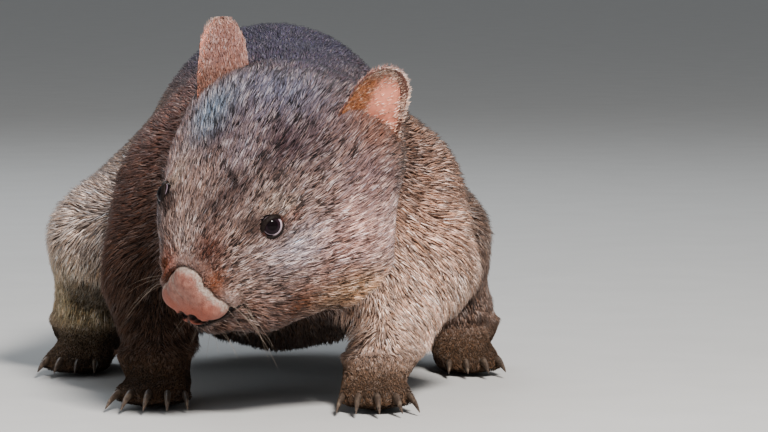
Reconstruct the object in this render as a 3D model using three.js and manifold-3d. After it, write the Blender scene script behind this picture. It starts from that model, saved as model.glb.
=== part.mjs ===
// A bare-nosed wombat, life size, as a still museum model: crouched on all four feet,
// with its head lowered and turned to its right.
// Millimetres, +Z up. The animal faces -Y and its left side is towards +X. The floor is at z = 0.
import * as THREE from "three";
import { mergeVertices } from "three/addons/utils/BufferGeometryUtils.js";
import Module from "manifold-3d";

const wasm = await Module();
wasm.setup();

// Driving dimensions of the body
const BACK_HEIGHT = 274; // floor to the top of the back, coat included
const CHEST_HALF_WIDTH = 116;
const BELLY_HALF_WIDTH = 122;
const HAUNCH_HALF_WIDTH = 174; // midline to the outside of a knee
const BELLY_CLEARANCE = 24; // floor to the lowest coat of the belly
const CHEST_CLEARANCE = 30; // floor to the lowest coat between the forelegs
const SHOULDER_Y = 166; // the head's centre is at y = 0
const LOIN_Y = 288;
const RUMP_Y = 388;
const TAIL_LENGTH = 16;

// The head's place and turn, and its driving dimensions in its own frame: x to the nose, y to its left, z up
const HEAD_AT = new THREE.Vector3(-10, 0, 153);
const HEAD_YAW = -36.5; // turned to its right
const HEAD_NOD = 30.5; // nose down
const HEAD_TILT = -15; // crown leaning to its left
const CROWN_HEIGHT = 66;
const NAPE_HALF_WIDTH = 42; // from the midline to the rise behind each ear's root
const CHEEK_HALF_WIDTH = 97;
const JOWL_DEPTH = 86; // from the head's centre down to the jaw line
const NOSE_REACH = 104;
const NOSE_HALF_WIDTH = 24;
const MUZZLE_HALF_WIDTH = 36;
const MOUTH_AT = new THREE.Vector3(86, 0, -46); // middle of the parted lips
const MOUTH_TILT = 6; // the lips drop towards the front
const MOUTH_RISE = 34; // and rise to the corners
const MOUTH_GAP = 4.4;
const EYE_AT = new THREE.Vector3(46, 41, 22);
const EYE_FACING = new THREE.Vector3(0.5, 0.8, 0.33).normalize();
const EYE_RADIUS = 9;
const EYE_SIDES = 14;
const LID_OPENING = [10.2, 7.2]; // half length and half height of the ring of lids
const EAR_ROOT = new THREE.Vector3(-54, 56, 36);
const EAR_TIP = { left: [-77, 70, 86], right: [-84, -72, 82] };
const EAR_FACING = { left: [0.55, 0.82, 0.05], right: [-0.3, -0.94, 0] };
const EAR_WIDTH = 58;
const EAR_TIP_WIDTH = 48; // across the rounded top
const EAR_SHELL = 6.5; // thickness of an ear with its fur
const EAR_CUP = 13; // how far the rims stand in front of the ear's middle
const EAR_ROWS = 7;
const EAR_COLUMNS = 6;

// Feet: where the middle of each stands, as [x, y, degrees turned out]
const FOREPAW_STANCE = { left: [70, 52, 4], right: [-84, 72, 6] };
const HIND_STANCE = { left: [137, 310, 6], right: [-151, 310, 6] };
const PAW_WIDTH = 54;
const CLAW_LENGTH = { fore: 27, hind: 21 };
const CLAW_WIDTH = 6.6;

const SEAM = 0.4; // clear space between neighbouring pieces
const EAR_SEAM = 0.7; // more round the sharp rims of the ears
const SHORTEST_EDGE = 0.15;
const PINCH = 0.03; // how far corners that meet without joining are drawn apart
const BODY_CELL = 27; // facet size on the body, head, feet and nose
const HEAD_CELL = 10.4;
const FOOT_CELL = 10.6;
const NOSE_CELL = 6;
const CUTTER_SIDES = 12;
const HEAD_SOFTNESS = 7; // width of the fillets between the head's forms

const SIDES = ["left", "right"];
const signOf = (side) => (side === "left" ? 1 : -1);
const V = (x, y, z) => new THREE.Vector3(x, y, z);
const turn = (degrees) => THREE.MathUtils.degToRad(degrees);

// Materials
const paint = (color, roughness) => new THREE.MeshStandardMaterial({ color, roughness, metalness: 0 });
const coatMaterial = paint(0x6b5a50, 0.9);
const faceMaterial = paint(0x7d6c63, 0.9);
const earMaterial = paint(0x9a6a4c, 0.85);
const noseMaterial = paint(0xa9776a, 0.6);
const lidMaterial = paint(0x4a3a33, 0.6);
const eyeMaterial = paint(0x120c0a, 0.1);
const clawMaterial = paint(0x4d453c, 0.5);

// Fields: each gives the distance from a point to a rounded form, negative inside
function ellipsoid(centre, radii) {
  return (p) => {
    const x = p.x - centre.x;
    const y = p.y - centre.y;
    const z = p.z - centre.z;
    const near = Math.hypot(x / radii.x, y / radii.y, z / radii.z);
    const slope = Math.hypot(x / radii.x ** 2, y / radii.y ** 2, z / radii.z ** 2);
    return slope < 1e-9 ? -Math.min(radii.x, radii.y, radii.z) : (near * (near - 1)) / slope;
  };
}

// A bone-like bar from a to b, with its radius at each end
function bar(a, b, radiusA, radiusB) {
  const along = b.clone().sub(a);
  const lengthSq = along.lengthSq();
  const d = V(0, 0, 0);
  return (p) => {
    const t = THREE.MathUtils.clamp(d.copy(p).sub(a).dot(along) / lengthSq, 0, 1);
    return d.addScaledVector(along, -t).length() - THREE.MathUtils.lerp(radiusA, radiusB, t);
  };
}

// Joins fields smoothly: softness is the width of the fillet between them
function blend(fields, softness) {
  return (p) => {
    let total = 0;
    for (const field of fields) total += Math.exp(-field(p) / softness);
    return -softness * Math.log(total);
  };
}

// Raises a field's surface by height round a point, or sinks it where height is negative
function swell(field, bumps) {
  return (p) => {
    let d = field(p);
    for (const { at, reach, height } of bumps) {
      const u = (p.x - at.x) / reach.x;
      const v = (p.y - at.y) / reach.y;
      const w = (p.z - at.z) / reach.z;
      d -= height * Math.exp(-(u * u + v * v + w * w));
    }
    return d;
  };
}

const mirrored = (make) => SIDES.map((side) => make(signOf(side)));

// Reads a field given in another frame
function placed(field, matrix) {
  const inverse = matrix.clone().invert();
  const q = V(0, 0, 0);
  return (p) => field(q.copy(p).applyMatrix4(inverse));
}

// The closed surface of a field inside a box, with one vertex to each cell that the surface crosses
function surfaceOf(field, box, cell) {
  const size = box.getSize(V(0, 0, 0));
  const count = [size.x, size.y, size.z].map((length) => Math.ceil(length / cell) + 1);
  const [nx, ny, nz] = count;
  const index = (i, j, k) => i + nx * (j + ny * k);
  const corner = (i, j, k) => V(box.min.x + i * cell, box.min.y + j * cell, box.min.z + k * cell);
  const value = new Float64Array(nx * ny * nz);
  for (let k = 0; k < nz; k++)
    for (let j = 0; j < ny; j++)
      for (let i = 0; i < nx; i++) {
        const rim = i === 0 || j === 0 || k === 0 || i === nx - 1 || j === ny - 1 || k === nz - 1;
        value[index(i, j, k)] = rim ? cell : field(corner(i, j, k));
      }
  const position = [];
  const vertexOf = new Map();
  const ends = [];
  for (let a = 0; a < 8; a++)
    for (let bit = 1; bit < 8; bit *= 2) if (!(a & bit)) ends.push([a, a | bit]);
  const offset = (a) => [a & 1, (a >> 1) & 1, (a >> 2) & 1];
  for (let k = 0; k < nz - 1; k++)
    for (let j = 0; j < ny - 1; j++)
      for (let i = 0; i < nx - 1; i++) {
        const sum = V(0, 0, 0);
        let crossings = 0;
        for (const [a, b] of ends) {
          const [ai, aj, ak] = offset(a);
          const [bi, bj, bk] = offset(b);
          const va = value[index(i + ai, j + aj, k + ak)];
          const vb = value[index(i + bi, j + bj, k + bk)];
          if (va < 0 === vb < 0) continue;
          sum.add(corner(i + ai, j + aj, k + ak).lerp(corner(i + bi, j + bj, k + bk), va / (va - vb)));
          crossings++;
        }
        if (!crossings) continue;
        const p = settle(field, sum.divideScalar(crossings), cell);
        vertexOf.set(index(i, j, k), position.length / 3);
        position.push(p.x, p.y, p.z);
      }
  const faces = [];
  const quad = (a, b, c, d, flip) => {
    const ring = [a, b, c, d].map((key) => vertexOf.get(key));
    if (flip) ring.reverse();
    faces.push(ring[0], ring[1], ring[2], ring[0], ring[2], ring[3]);
  };
  for (let k = 0; k < nz - 1; k++)
    for (let j = 0; j < ny - 1; j++)
      for (let i = 0; i < nx - 1; i++) {
        const inside = value[index(i, j, k)] < 0;
        if (inside !== value[index(i + 1, j, k)] < 0)
          quad(index(i, j - 1, k - 1), index(i, j, k - 1), index(i, j, k), index(i, j - 1, k), !inside);
        if (inside !== value[index(i, j + 1, k)] < 0)
          quad(index(i - 1, j, k - 1), index(i - 1, j, k), index(i, j, k), index(i, j, k - 1), !inside);
        if (inside !== value[index(i, j, k + 1)] < 0)
          quad(index(i - 1, j - 1, k), index(i, j - 1, k), index(i, j, k), index(i - 1, j, k), !inside);
      }
  const geometry = new THREE.BufferGeometry();
  geometry.setAttribute("position", new THREE.Float32BufferAttribute(position, 3));
  geometry.setIndex(faces);
  return geometry;
}

// Moves a point onto the surface of a field, no further than half a cell
function settle(field, start, cell) {
  const h = 0.5;
  const p = start.clone();
  for (let step = 0; step < 3; step++) {
    const d = field(p);
    const slope = V(
      field(V(p.x + h, p.y, p.z)) - field(V(p.x - h, p.y, p.z)),
      field(V(p.x, p.y + h, p.z)) - field(V(p.x, p.y - h, p.z)),
      field(V(p.x, p.y, p.z + h)) - field(V(p.x, p.y, p.z - h)),
    ).divideScalar(2 * h);
    p.addScaledVector(slope, -d / Math.max(slope.lengthSq(), 0.05));
  }
  const moved = p.sub(start);
  return start.clone().add(moved.clampLength(0, cell * 0.4));
}

// Solids and geometries
function solidOf(geometry) {
  const bare = geometry.clone();
  bare.deleteAttribute("normal");
  bare.deleteAttribute("uv");
  const merged = mergeVertices(bare, 1e-3);
  return new wasm.Manifold(
    new wasm.Mesh({
      numProp: 3,
      vertProperties: merged.attributes.position.array,
      triVerts: new Uint32Array(merged.index.array),
    }),
  );
}

const largest = (solid) => solid.decompose().reduce((a, b) => (a.volume() > b.volume() ? a : b));

// Closes up the edges shorter than a limit that cutting leaves, wherever the surface stays whole
function closeShortEdges(points, triangles, limit) {
  const around = points.map(() => new Set());
  for (let f = 0; f < triangles.length; f += 3)
    for (const [i, j] of [[0, 1], [1, 2], [2, 0]]) {
      around[triangles[f + i]].add(triangles[f + j]);
      around[triangles[f + j]].add(triangles[f + i]);
    }
  const into = points.map((_, i) => i);
  const kept = (i) => (into[i] === i ? i : (into[i] = kept(into[i])));
  const short = [];
  around.forEach((near, i) => {
    for (const j of near) {
      const length = points[i].distanceTo(points[j]);
      if (i < j && length < limit) short.push([length, i, j]);
    }
  });
  short.sort((a, b) => a[0] - b[0]);
  for (const [, first, second] of short) {
    const i = kept(first);
    const j = kept(second);
    if (i === j || points[i].distanceTo(points[j]) >= limit) continue;
    const shared = [...around[i]].filter((k) => around[j].has(k));
    if (shared.length !== 2) continue;
    into[j] = i;
    for (const k of around[j]) {
      around[k].delete(j);
      if (k === i) continue;
      around[k].add(i);
      around[i].add(k);
    }
  }
  const left = [];
  for (let f = 0; f < triangles.length; f += 3) {
    const [a, b, c] = [kept(triangles[f]), kept(triangles[f + 1]), kept(triangles[f + 2])];
    if (a !== b && b !== c && c !== a) left.push(a, b, c);
  }
  return left;
}

function meshOf(name, solid, material) {
  const made = largest(solid).getMesh();
  const points = [];
  for (let i = 0; i < made.vertProperties.length; i += 3)
    points.push(V(...made.vertProperties.slice(i, i + 3)));
  const used = closeShortEdges(points, made.triVerts, SHORTEST_EDGE);
  const bare = new THREE.BufferGeometry().setFromPoints(points);
  bare.setIndex(used);
  bare.computeVertexNormals();
  const places = new Map();
  for (const i of new Set(used)) {
    const key = points[i].toArray().map((value) => value.toFixed(2)).join();
    places.set(key, [...(places.get(key) ?? []), i]);
  }
  const normalOf = (i) => V(0, 0, 0).fromBufferAttribute(bare.attributes.normal, i);
  for (const meeting of places.values())
    if (meeting.length > 1) for (const i of meeting) points[i].addScaledVector(normalOf(i), -PINCH);
  bare.setFromPoints(points);
  bare.deleteAttribute("normal");
  const geometry = mergeVertices(bare.toNonIndexed(), 1e-4);
  geometry.computeVertexNormals();
  const mesh = new THREE.Mesh(geometry, material);
  mesh.name = name;
  return mesh;
}

// A copy of a closed geometry with every face moved out by a distance, to cut a socket
function grown(geometry, by) {
  const bare = geometry.clone();
  bare.deleteAttribute("normal");
  bare.deleteAttribute("uv");
  const merged = mergeVertices(bare, 1e-3);
  merged.computeVertexNormals();
  const { position, normal } = merged.attributes;
  const corners = merged.index.array;
  const point = (i) => V(0, 0, 0).fromBufferAttribute(position, i);
  const lean = new Float32Array(position.count).fill(1);
  for (let f = 0; f < corners.length; f += 3) {
    const [a, b, c] = [point(corners[f]), point(corners[f + 1]), point(corners[f + 2])];
    const faceNormal = b.sub(a).cross(c.sub(a)).normalize();
    for (let k = f; k < f + 3; k++) {
      const upright = V(0, 0, 0).fromBufferAttribute(normal, corners[k]).dot(faceNormal);
      lean[corners[k]] = Math.min(lean[corners[k]], Math.max(upright, 0.4));
    }
  }
  const moved = Array.from(lean, (upright, i) =>
    point(i).addScaledVector(V(0, 0, 0).fromBufferAttribute(normal, i), by / upright),
  );
  merged.setFromPoints(moved);
  return merged;
}

function ball(centre, radii, grow = 0, detail = 20) {
  const geometry = new THREE.SphereGeometry(1, detail, Math.round(detail * 0.7));
  geometry.scale(radii.x + grow, radii.y + grow, radii.z + grow);
  return geometry.translate(centre.x, centre.y, centre.z);
}

function block(low, high, grow = 0) {
  const size = high.clone().sub(low).addScalar(2 * grow);
  const centre = low.clone().add(high).multiplyScalar(0.5);
  return new THREE.BoxGeometry(size.x, size.y, size.z).translate(centre.x, centre.y, centre.z);
}

// A round-ended bar from a to b, to cut a limb's length out of the body
function limbCutter(a, b, radiusA, radiusB, grow = 0, sides = CUTTER_SIDES) {
  const along = b.clone().sub(a);
  const length = along.length();
  const profile = [];
  for (let step = 0; step <= 3; step++) {
    const angle = (step / 3) * (Math.PI / 2);
    const radius = radiusA + grow;
    profile.push(new THREE.Vector2(radius * Math.sin(angle), -radius * Math.cos(angle)));
  }
  for (let step = 0; step <= 3; step++) {
    const angle = (step / 3) * (Math.PI / 2);
    const radius = radiusB + grow;
    profile.push(new THREE.Vector2(radius * Math.cos(angle), length + radius * Math.sin(angle)));
  }
  profile[0].x = 0;
  profile[profile.length - 1].x = 0;
  const turned = new THREE.Quaternion().setFromUnitVectors(V(0, 1, 0), along.normalize());
  return new THREE.LatheGeometry(profile, sides).applyQuaternion(turned).translate(a.x, a.y, a.z);
}

// The head's frame in the body's frame: the level head faces -Y, then nods, tilts and turns
const headFrame = new THREE.Matrix4()
  .makeTranslation(HEAD_AT)
  .multiply(new THREE.Matrix4().makeRotationZ(turn(HEAD_YAW)))
  .multiply(new THREE.Matrix4().makeBasis(V(0, -1, 0), V(1, 0, 0), V(0, 0, 1)))
  .multiply(new THREE.Matrix4().makeRotationY(turn(HEAD_NOD)))
  .multiply(new THREE.Matrix4().makeRotationX(turn(HEAD_TILT)));
const bodyInHead = headFrame.clone().invert();
const fromHead = (x, y, z) => V(x, y, z).applyMatrix4(headFrame);

// The head's rounded forms, in its own frame
const skull = ellipsoid(V(-32, 0, CROWN_HEIGHT - 62), V(72, 56, 54));
const nape = mirrored((s) => ellipsoid(V(-56, s * NAPE_HALF_WIDTH, CROWN_HEIGHT - 50), V(46, 42, 48)));
const temples = mirrored((s) => ellipsoid(V(-26, s * 36, -6), V(50, 48, 50)));
const jowls = mirrored((s) =>
  bar(V(-22, s * (CHEEK_HALF_WIDTH - 51), 46 - JOWL_DEPTH), V(40, s * 24, -44), 43, 31),
);
const cheeks = mirrored((s) => ellipsoid(V(16, s * 32, 0), V(44, 30, 36)));
const bridge = bar(V(-20, 0, 22), V(54, 0, 2), 36, 26);
const browRidges = mirrored((s) => ellipsoid(V(38, s * 20, 9), V(38, 25, 25)));
const muzzle = ellipsoid(V(NOSE_REACH - 41, 0, -14), V(31, MUZZLE_HALF_WIDTH - 5, 28));
const underNose = ellipsoid(V(NOSE_REACH - 26, 0, -12), V(16, 22, 21));
const chin = bar(V(8, 0, 36 - JOWL_DEPTH), V(72, 0, -47), 35, 18);
const headField = swell(
  blend(
    [skull, ...nape, ...temples, ...jowls, ...cheeks, bridge, ...browRidges, muzzle, underNose, chin],
    HEAD_SOFTNESS,
  ),
  [
    ...mirrored((s) => ({ at: V(40, s * 38, 38), reach: V(15, 12, 10), height: 3 })), // brows
    ...mirrored((s) => ({ at: V(56, s * 46, 24), reach: V(12, 12, 9), height: -4 })), // round the eyes
    ...mirrored((s) => ({ at: V(78, s * 28, -22), reach: V(14, 12, 12), height: 3 })), // whisker pads
    { at: V(20, 0, 58), reach: V(28, 14, 18), height: -2 }, // middle of the forehead
  ],
);

// Torso and neck, in the body's frame
const chest = ellipsoid(V(2, SHOULDER_Y, BACK_HEIGHT - 128), V(CHEST_HALF_WIDTH - 12, 112, 108));
const belly = ellipsoid(V(0, LOIN_Y, BELLY_CLEARANCE + 110), V(BELLY_HALF_WIDTH - 8, 150, 110));
const back = ellipsoid(V(-6, LOIN_Y, BACK_HEIGHT - 88), V(84, 150, 84));
const rump = ellipsoid(V(-6, RUMP_Y, BELLY_CLEARANCE + 110), V(BELLY_HALF_WIDTH - 14, 118, 108));
const croup = ellipsoid(V(-6, RUMP_Y + 30, BELLY_CLEARANCE + 84), V(BELLY_HALF_WIDTH - 30, 96, 78));
const torsoField = blend([chest, belly, back, rump, croup], 12);
const scruff = bar(fromHead(-52, 0, 12), V(8, SHOULDER_Y - 10, 162), 62, 85);
const throat = bar(fromHead(-24, 4, -20), V(4, SHOULDER_Y - 20, 138), 48, 74);
const brisket = bar(fromHead(-36, 4, -34), V(2, SHOULDER_Y - 12, CHEST_CLEARANCE + 68), 44, 68);
const neckField = blend([scruff, throat, brisket], 8);

// Joint centres of each leg, and the frame of each foot: the sole's middle on the floor, toes towards -y
function forelegJoints(side) {
  const s = signOf(side);
  const [x, y] = FOREPAW_STANCE[side];
  const out = side === "left" ? 18 : 0; // the left elbow stands out
  return {
    shoulder: V(s * (68 + out), SHOULDER_Y + 5, 146),
    elbow: V(s * (92 + out), SHOULDER_Y - 22, 92),
    wrist: V(x + s * 4, y + 24, 38),
  };
}

function hindlegJoints(side) {
  const s = signOf(side);
  const [x, y] = HIND_STANCE[side];
  return {
    hip: V(s * 54 - 6, RUMP_Y + 8, 128),
    knee: V(s * (HAUNCH_HALF_WIDTH - 49) - 9, y - 26, 104),
    ankle: V(x, y + 44, 38),
  };
}

function footFrame(side, stance) {
  const [x, y, out] = stance[side];
  const turned = new THREE.Matrix4().makeRotationZ(turn(signOf(side) * out));
  return new THREE.Matrix4().makeTranslation(x, y, 0).multiply(turned);
}

// Toes across a foot, as [across, reach, size] from the inner toe to the outer one
const FORE_TOES = [
  [-0.4, 0.66, 0.86],
  [-0.22, 0.92, 1],
  [0, 1, 1.04],
  [0.22, 0.94, 1],
  [0.4, 0.7, 0.9],
];
const HIND_TOES = [
  [-0.36, 0.5, 0.7],
  [-0.24, 0.86, 0.84],
  [-0.04, 0.98, 0.9],
  [0.18, 1, 1],
  [0.38, 0.84, 0.96],
];
const TOE_RADIUS = 9;
const FORE_TOE_REACH = 42; // middle of the foot to the pads of the middle toe
const HIND_TOE_REACH = 50;
const toeTip = ([across, reach, size], middleReach, side) =>
  V(signOf(side) * across * PAW_WIDTH * 1.08, -reach * middleReach, TOE_RADIUS * size + 1);
const toeRoot = (toe, side) => V(signOf(side) * toe[0] * PAW_WIDTH * 0.7, -4, 17);

const pawField = (side) =>
  blend(
    [
      ellipsoid(V(0, 4, 14), V(PAW_WIDTH / 2 - 3, 28, 19)),
      ...FORE_TOES.map((toe) => {
        const radius = TOE_RADIUS * toe[2];
        return bar(toeRoot(toe, side), toeTip(toe, FORE_TOE_REACH, side), radius + 2, radius - 0.5);
      }),
    ],
    1.6,
  );
const hindPawField = (side) =>
  blend(
    [
      ellipsoid(V(0, -8, 14), V(PAW_WIDTH / 2 - 4, 34, 18)),
      ellipsoid(V(0, 40, 17), V(PAW_WIDTH / 2 - 8, 28, 20)),
      ...HIND_TOES.map((toe) => {
        const radius = TOE_RADIUS * toe[2];
        return bar(toeRoot(toe, side), toeTip(toe, HIND_TOE_REACH, side), radius + 2, radius - 0.5);
      }),
    ],
    2,
  );

const forelegFields = SIDES.map((side) => {
  const { shoulder, elbow, wrist } = forelegJoints(side);
  const palm = V(0, 6, 22).applyMatrix4(footFrame(side, FOREPAW_STANCE));
  return blend([bar(shoulder, elbow, 56, 41), bar(elbow, wrist, 38, 26), bar(wrist, palm, 25, 18)], 5);
});
const hindlegFields = SIDES.map((side) => {
  const { hip, knee, ankle } = hindlegJoints(side);
  const instep = V(0, -2, 18).applyMatrix4(footFrame(side, HIND_STANCE));
  return blend([bar(hip, knee, 76, 47), bar(knee, ankle, 42, 29), bar(ankle, instep, 27, 17)], 6);
});
const footFields = SIDES.flatMap((side) => [
  placed(pawField(side), footFrame(side, FOREPAW_STANCE)),
  placed(hindPawField(side), footFrame(side, HIND_STANCE)),
]);
const trunkField = blend([torsoField, neckField, ...forelegFields, ...hindlegFields], 9);
const wholeField = blend([blend([trunkField, ...footFields], 3), placed(headField, headFrame)], 7);

// Cutters that part the body, in the body's frame, each grown by the seam where a neighbour is cut back
const inFrame = (make, matrix) => (grow) => make(grow).applyMatrix4(matrix);
const headCutter = inFrame((grow) => ball(V(4, 0, -4), V(114, 118, 92), grow, 16), headFrame);
const neckCutter = (grow) => {
  const slab = block(V(-170, -200, -150), V(170, 0, 150), grow);
  return slab.rotateX(turn(24)).translate(4, 112, 170);
};
const pawCutters = Object.fromEntries(
  SIDES.map((side) => [
    side,
    inFrame(
      (grow) => block(V(-46, -86, -20), V(46, 46, 42), grow).rotateX(turn(-8)),
      footFrame(side, FOREPAW_STANCE),
    ),
  ]),
);
const footCutters = Object.fromEntries(
  SIDES.map((side) => [
    side,
    inFrame(
      (grow) => block(V(-50, -100, -20), V(50, 84, 42), grow).rotateX(turn(-4)),
      footFrame(side, HIND_STANCE),
    ),
  ]),
);

const cut = (solid, cutter) => solid.intersect(solidOf(cutter(0)));
const clear = (solid, cutter) => solid.subtract(solidOf(cutter(SEAM)));
const floorCutter = () => block(V(-400, -400, -120), V(400, 900, 0));

const wombat = new THREE.Group();
const headGroup = new THREE.Group();
headGroup.applyMatrix4(headFrame);
wombat.add(headGroup);
const keep = (name, solid, material, group = wombat) => group.add(meshOf(name, solid, material));

// One ear in the head's frame: a cupped, rounded shell with its rims turned forward
function earGeometry(side) {
  const s = signOf(side);
  const root = EAR_ROOT.clone().multiply(V(1, s, 1));
  const tip = V(...EAR_TIP[side]);
  const height = tip.distanceTo(root);
  const up = tip.clone().sub(root).normalize();
  const facing = V(...EAR_FACING[side]);
  const out = facing.addScaledVector(up, -facing.dot(up)).normalize();
  const across = up.clone().cross(out);
  const frame = new THREE.Matrix4().makeBasis(across, up, out).setPosition(root);
  const rootRadius = EAR_WIDTH / 2;
  const tipRadius = EAR_TIP_WIDTH / 2;
  const halfWidthAt = (v) => {
    if (v < 0) return Math.sqrt(rootRadius ** 2 - v * v);
    const over = v - (height - tipRadius);
    if (over > 0) return Math.sqrt(Math.max(tipRadius ** 2 - over * over, 1));
    return THREE.MathUtils.lerp(rootRadius, tipRadius, (v / (height - tipRadius)) ** 1.5);
  };
  const position = [];
  for (const face of [0.5, -0.5])
    for (let j = 0; j <= EAR_ROWS; j++) {
      const share = Math.sin((j / EAR_ROWS) * (Math.PI / 2));
      const v = THREE.MathUtils.lerp(-rootRadius * 0.8, height - 0.4, share);
      const half = halfWidthAt(v);
      const rise = THREE.MathUtils.clamp(v / height, 0, 1);
      const cup = EAR_CUP * (half / rootRadius) * (1 - 0.4 * rise);
      for (let i = 0; i <= EAR_COLUMNS; i++) {
        const a = Math.sin((i / EAR_COLUMNS - 0.5) * Math.PI);
        const tilt = Math.atan2(2 * cup * a, half);
        const thick = EAR_SHELL * (1 - 0.5 * a * a) * (1 - 0.35 * rise ** 2);
        const x = half * a - Math.sin(tilt) * thick * face;
        const z = 4 - cup * (1 - a * a) + Math.cos(tilt) * thick * face;
        position.push(x, v, z);
      }
    }
  const at = (face, j, i) => (face * (EAR_ROWS + 1) + j) * (EAR_COLUMNS + 1) + i;
  const faces = [];
  const quad = (a, b, c, d) => faces.push(a, b, c, a, c, d);
  for (let j = 0; j < EAR_ROWS; j++)
    for (let i = 0; i < EAR_COLUMNS; i++) {
      quad(at(0, j, i), at(0, j, i + 1), at(0, j + 1, i + 1), at(0, j + 1, i));
      quad(at(1, j, i), at(1, j + 1, i), at(1, j + 1, i + 1), at(1, j, i + 1));
    }
  for (let j = 0; j < EAR_ROWS; j++) {
    quad(at(0, j, 0), at(0, j + 1, 0), at(1, j + 1, 0), at(1, j, 0));
    quad(at(0, j, EAR_COLUMNS), at(1, j, EAR_COLUMNS), at(1, j + 1, EAR_COLUMNS), at(0, j + 1, EAR_COLUMNS));
  }
  for (let i = 0; i < EAR_COLUMNS; i++) {
    quad(at(0, 0, i), at(1, 0, i), at(1, 0, i + 1), at(0, 0, i + 1));
    quad(at(0, EAR_ROWS, i), at(0, EAR_ROWS, i + 1), at(1, EAR_ROWS, i + 1), at(1, EAR_ROWS, i));
  }
  const shell = new THREE.BufferGeometry();
  shell.setAttribute("position", new THREE.Float32BufferAttribute(position, 3));
  shell.setIndex(faces);
  return shell.applyMatrix4(frame);
}

// The bare nose: a full pad at the end of the muzzle, a little proud of the coat, with two wings
const noseField = blend(
  [
    ellipsoid(V(NOSE_REACH - 12, 0, -5), V(12.5, 13, 12)),
    ...mirrored((s) => ellipsoid(V(NOSE_REACH - 14, s * (NOSE_HALF_WIDTH - 13), -22), V(13, 12.5, 11.5))),
    ...mirrored((s) => ellipsoid(V(NOSE_REACH - 13, s * 5.5, -14), V(12.5, 12.5, 14))),
    ellipsoid(V(NOSE_REACH - 12, 0, -21), V(12.5, 15, 18)),
  ],
  1.5,
);
const noseBox = new THREE.Box3(V(NOSE_REACH - 34, -32, -46), V(NOSE_REACH + 12, 32, 22));
const noseGeometry = () => surfaceOf(noseField, noseBox, NOSE_CELL);
const nostrilCutters = () =>
  mirrored((s) => [
    limbCutter(V(NOSE_REACH + 4, s * 8, -29), V(NOSE_REACH - 10, s * 11, -22), 3.4, 2.6, 0, 6),
    limbCutter(V(NOSE_REACH, s * 9, -29), V(NOSE_REACH - 8, s * 20, -28), 1.7, 1.2, 0, 4),
  ]).flat();
const philtrumCutter = () => ball(V(NOSE_REACH - 3, 0, -39), V(9, 0.9, 9), 0, 6);

// Mouth: a gap between the lips, and the blocks below it that part off the lower jaw
const atMouth = (geometry, s) =>
  geometry.rotateX(turn(s * MOUTH_RISE)).rotateY(turn(MOUTH_TILT)).translate(...MOUTH_AT);
const mouthCutters = () =>
  mirrored((s) => atMouth(ball(V(0, s * 15, 0), V(20, 17, MOUTH_GAP / 2), 0, 12), s));
const jawSolid = (grow) => {
  const [leftHalf, rightHalf] = mirrored((s) =>
    solidOf(
      atMouth(block(V(-46, Math.min(-s * 60, s * 36), -90), V(60, Math.max(-s * 60, s * 36), 0), grow), s),
    ),
  );
  return leftHalf.add(rightHalf);
};

// One ring of lids, lying round the eyeball, with its long way from the nose back and up
function lidGeometry(side) {
  const s = signOf(side);
  const facing = EYE_FACING.clone().multiply(V(1, s, 1));
  const long = V(-0.86, s * 0.42, 0.28);
  long.addScaledVector(facing, -long.dot(facing)).normalize();
  const high = facing.clone().cross(long).multiplyScalar(s);
  const centre = EYE_AT.clone().multiply(V(1, s, 1));
  const [halfLength, halfHeight] = LID_OPENING;
  const point = (turnBy) => {
    const a = halfLength * Math.cos(turnBy);
    const b = halfHeight * Math.sin(turnBy);
    const depth = Math.sqrt(Math.max((EYE_RADIUS + 2.6) ** 2 - a * a - b * b, 4));
    return centre.clone().addScaledVector(long, a).addScaledVector(high, b).addScaledVector(facing, depth);
  };
  const ring = new THREE.TorusGeometry(1, 0.3, 6, 14);
  const position = ring.attributes.position;
  for (let i = 0; i < position.count; i++) {
    const around = Math.atan2(position.getY(i), position.getX(i));
    const middle = point(around);
    const away = middle.clone().sub(centre).normalize();
    const tangent = point(around + 0.05).sub(middle).normalize();
    const outward = tangent.clone().cross(away).normalize();
    const outer = ((Math.hypot(position.getX(i), position.getY(i)) - 1) / 0.3) * 3;
    const raised = (position.getZ(i) / 0.3) * 2.4;
    const p = middle.addScaledVector(outward, outer).addScaledVector(away, raised);
    position.setXYZ(i, p.x, p.y, p.z);
  }
  return ring;
}

// A claw: a bent, tapering horn of few sides, its root at the origin, pointing to -y
function clawGeometry(length, width) {
  const rings = 3;
  const sides = 6;
  const horn = new THREE.CylinderGeometry(1, 1, 1, sides, rings);
  const position = horn.attributes.position;
  for (let i = 0; i < position.count; i++) {
    const along = position.getY(i) + 0.5;
    const radius = (width / 2) * (1 - along) ** 0.6 + 0.5;
    const drop = 0.34 * length * along ** 2;
    position.setXYZ(
      i,
      -position.getX(i) * radius * 0.85,
      -along * length,
      position.getZ(i) * radius * 1.15 - drop,
    );
  }
  return horn;
}

// Lengths of the legs, cut from the body after the feet
const legCutters = SIDES.flatMap((side) => {
  const fore = forelegJoints(side);
  const hind = hindlegJoints(side);
  const thighTop = hind.hip.clone().setX(signOf(side) * 92 - 6);
  return [
    [`foreleg_${side}`, (grow) => limbCutter(fore.elbow, fore.wrist, 54, 46, grow)],
    [`upper_foreleg_${side}`, (grow) => limbCutter(fore.shoulder, fore.elbow, 66, 60, grow)],
    [`shin_${side}`, (grow) => limbCutter(hind.knee, hind.ankle, 58, 50, grow)],
    [`thigh_${side}`, (grow) => limbCutter(thighTop, hind.knee, 82, 66, grow)],
  ];
});

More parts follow.
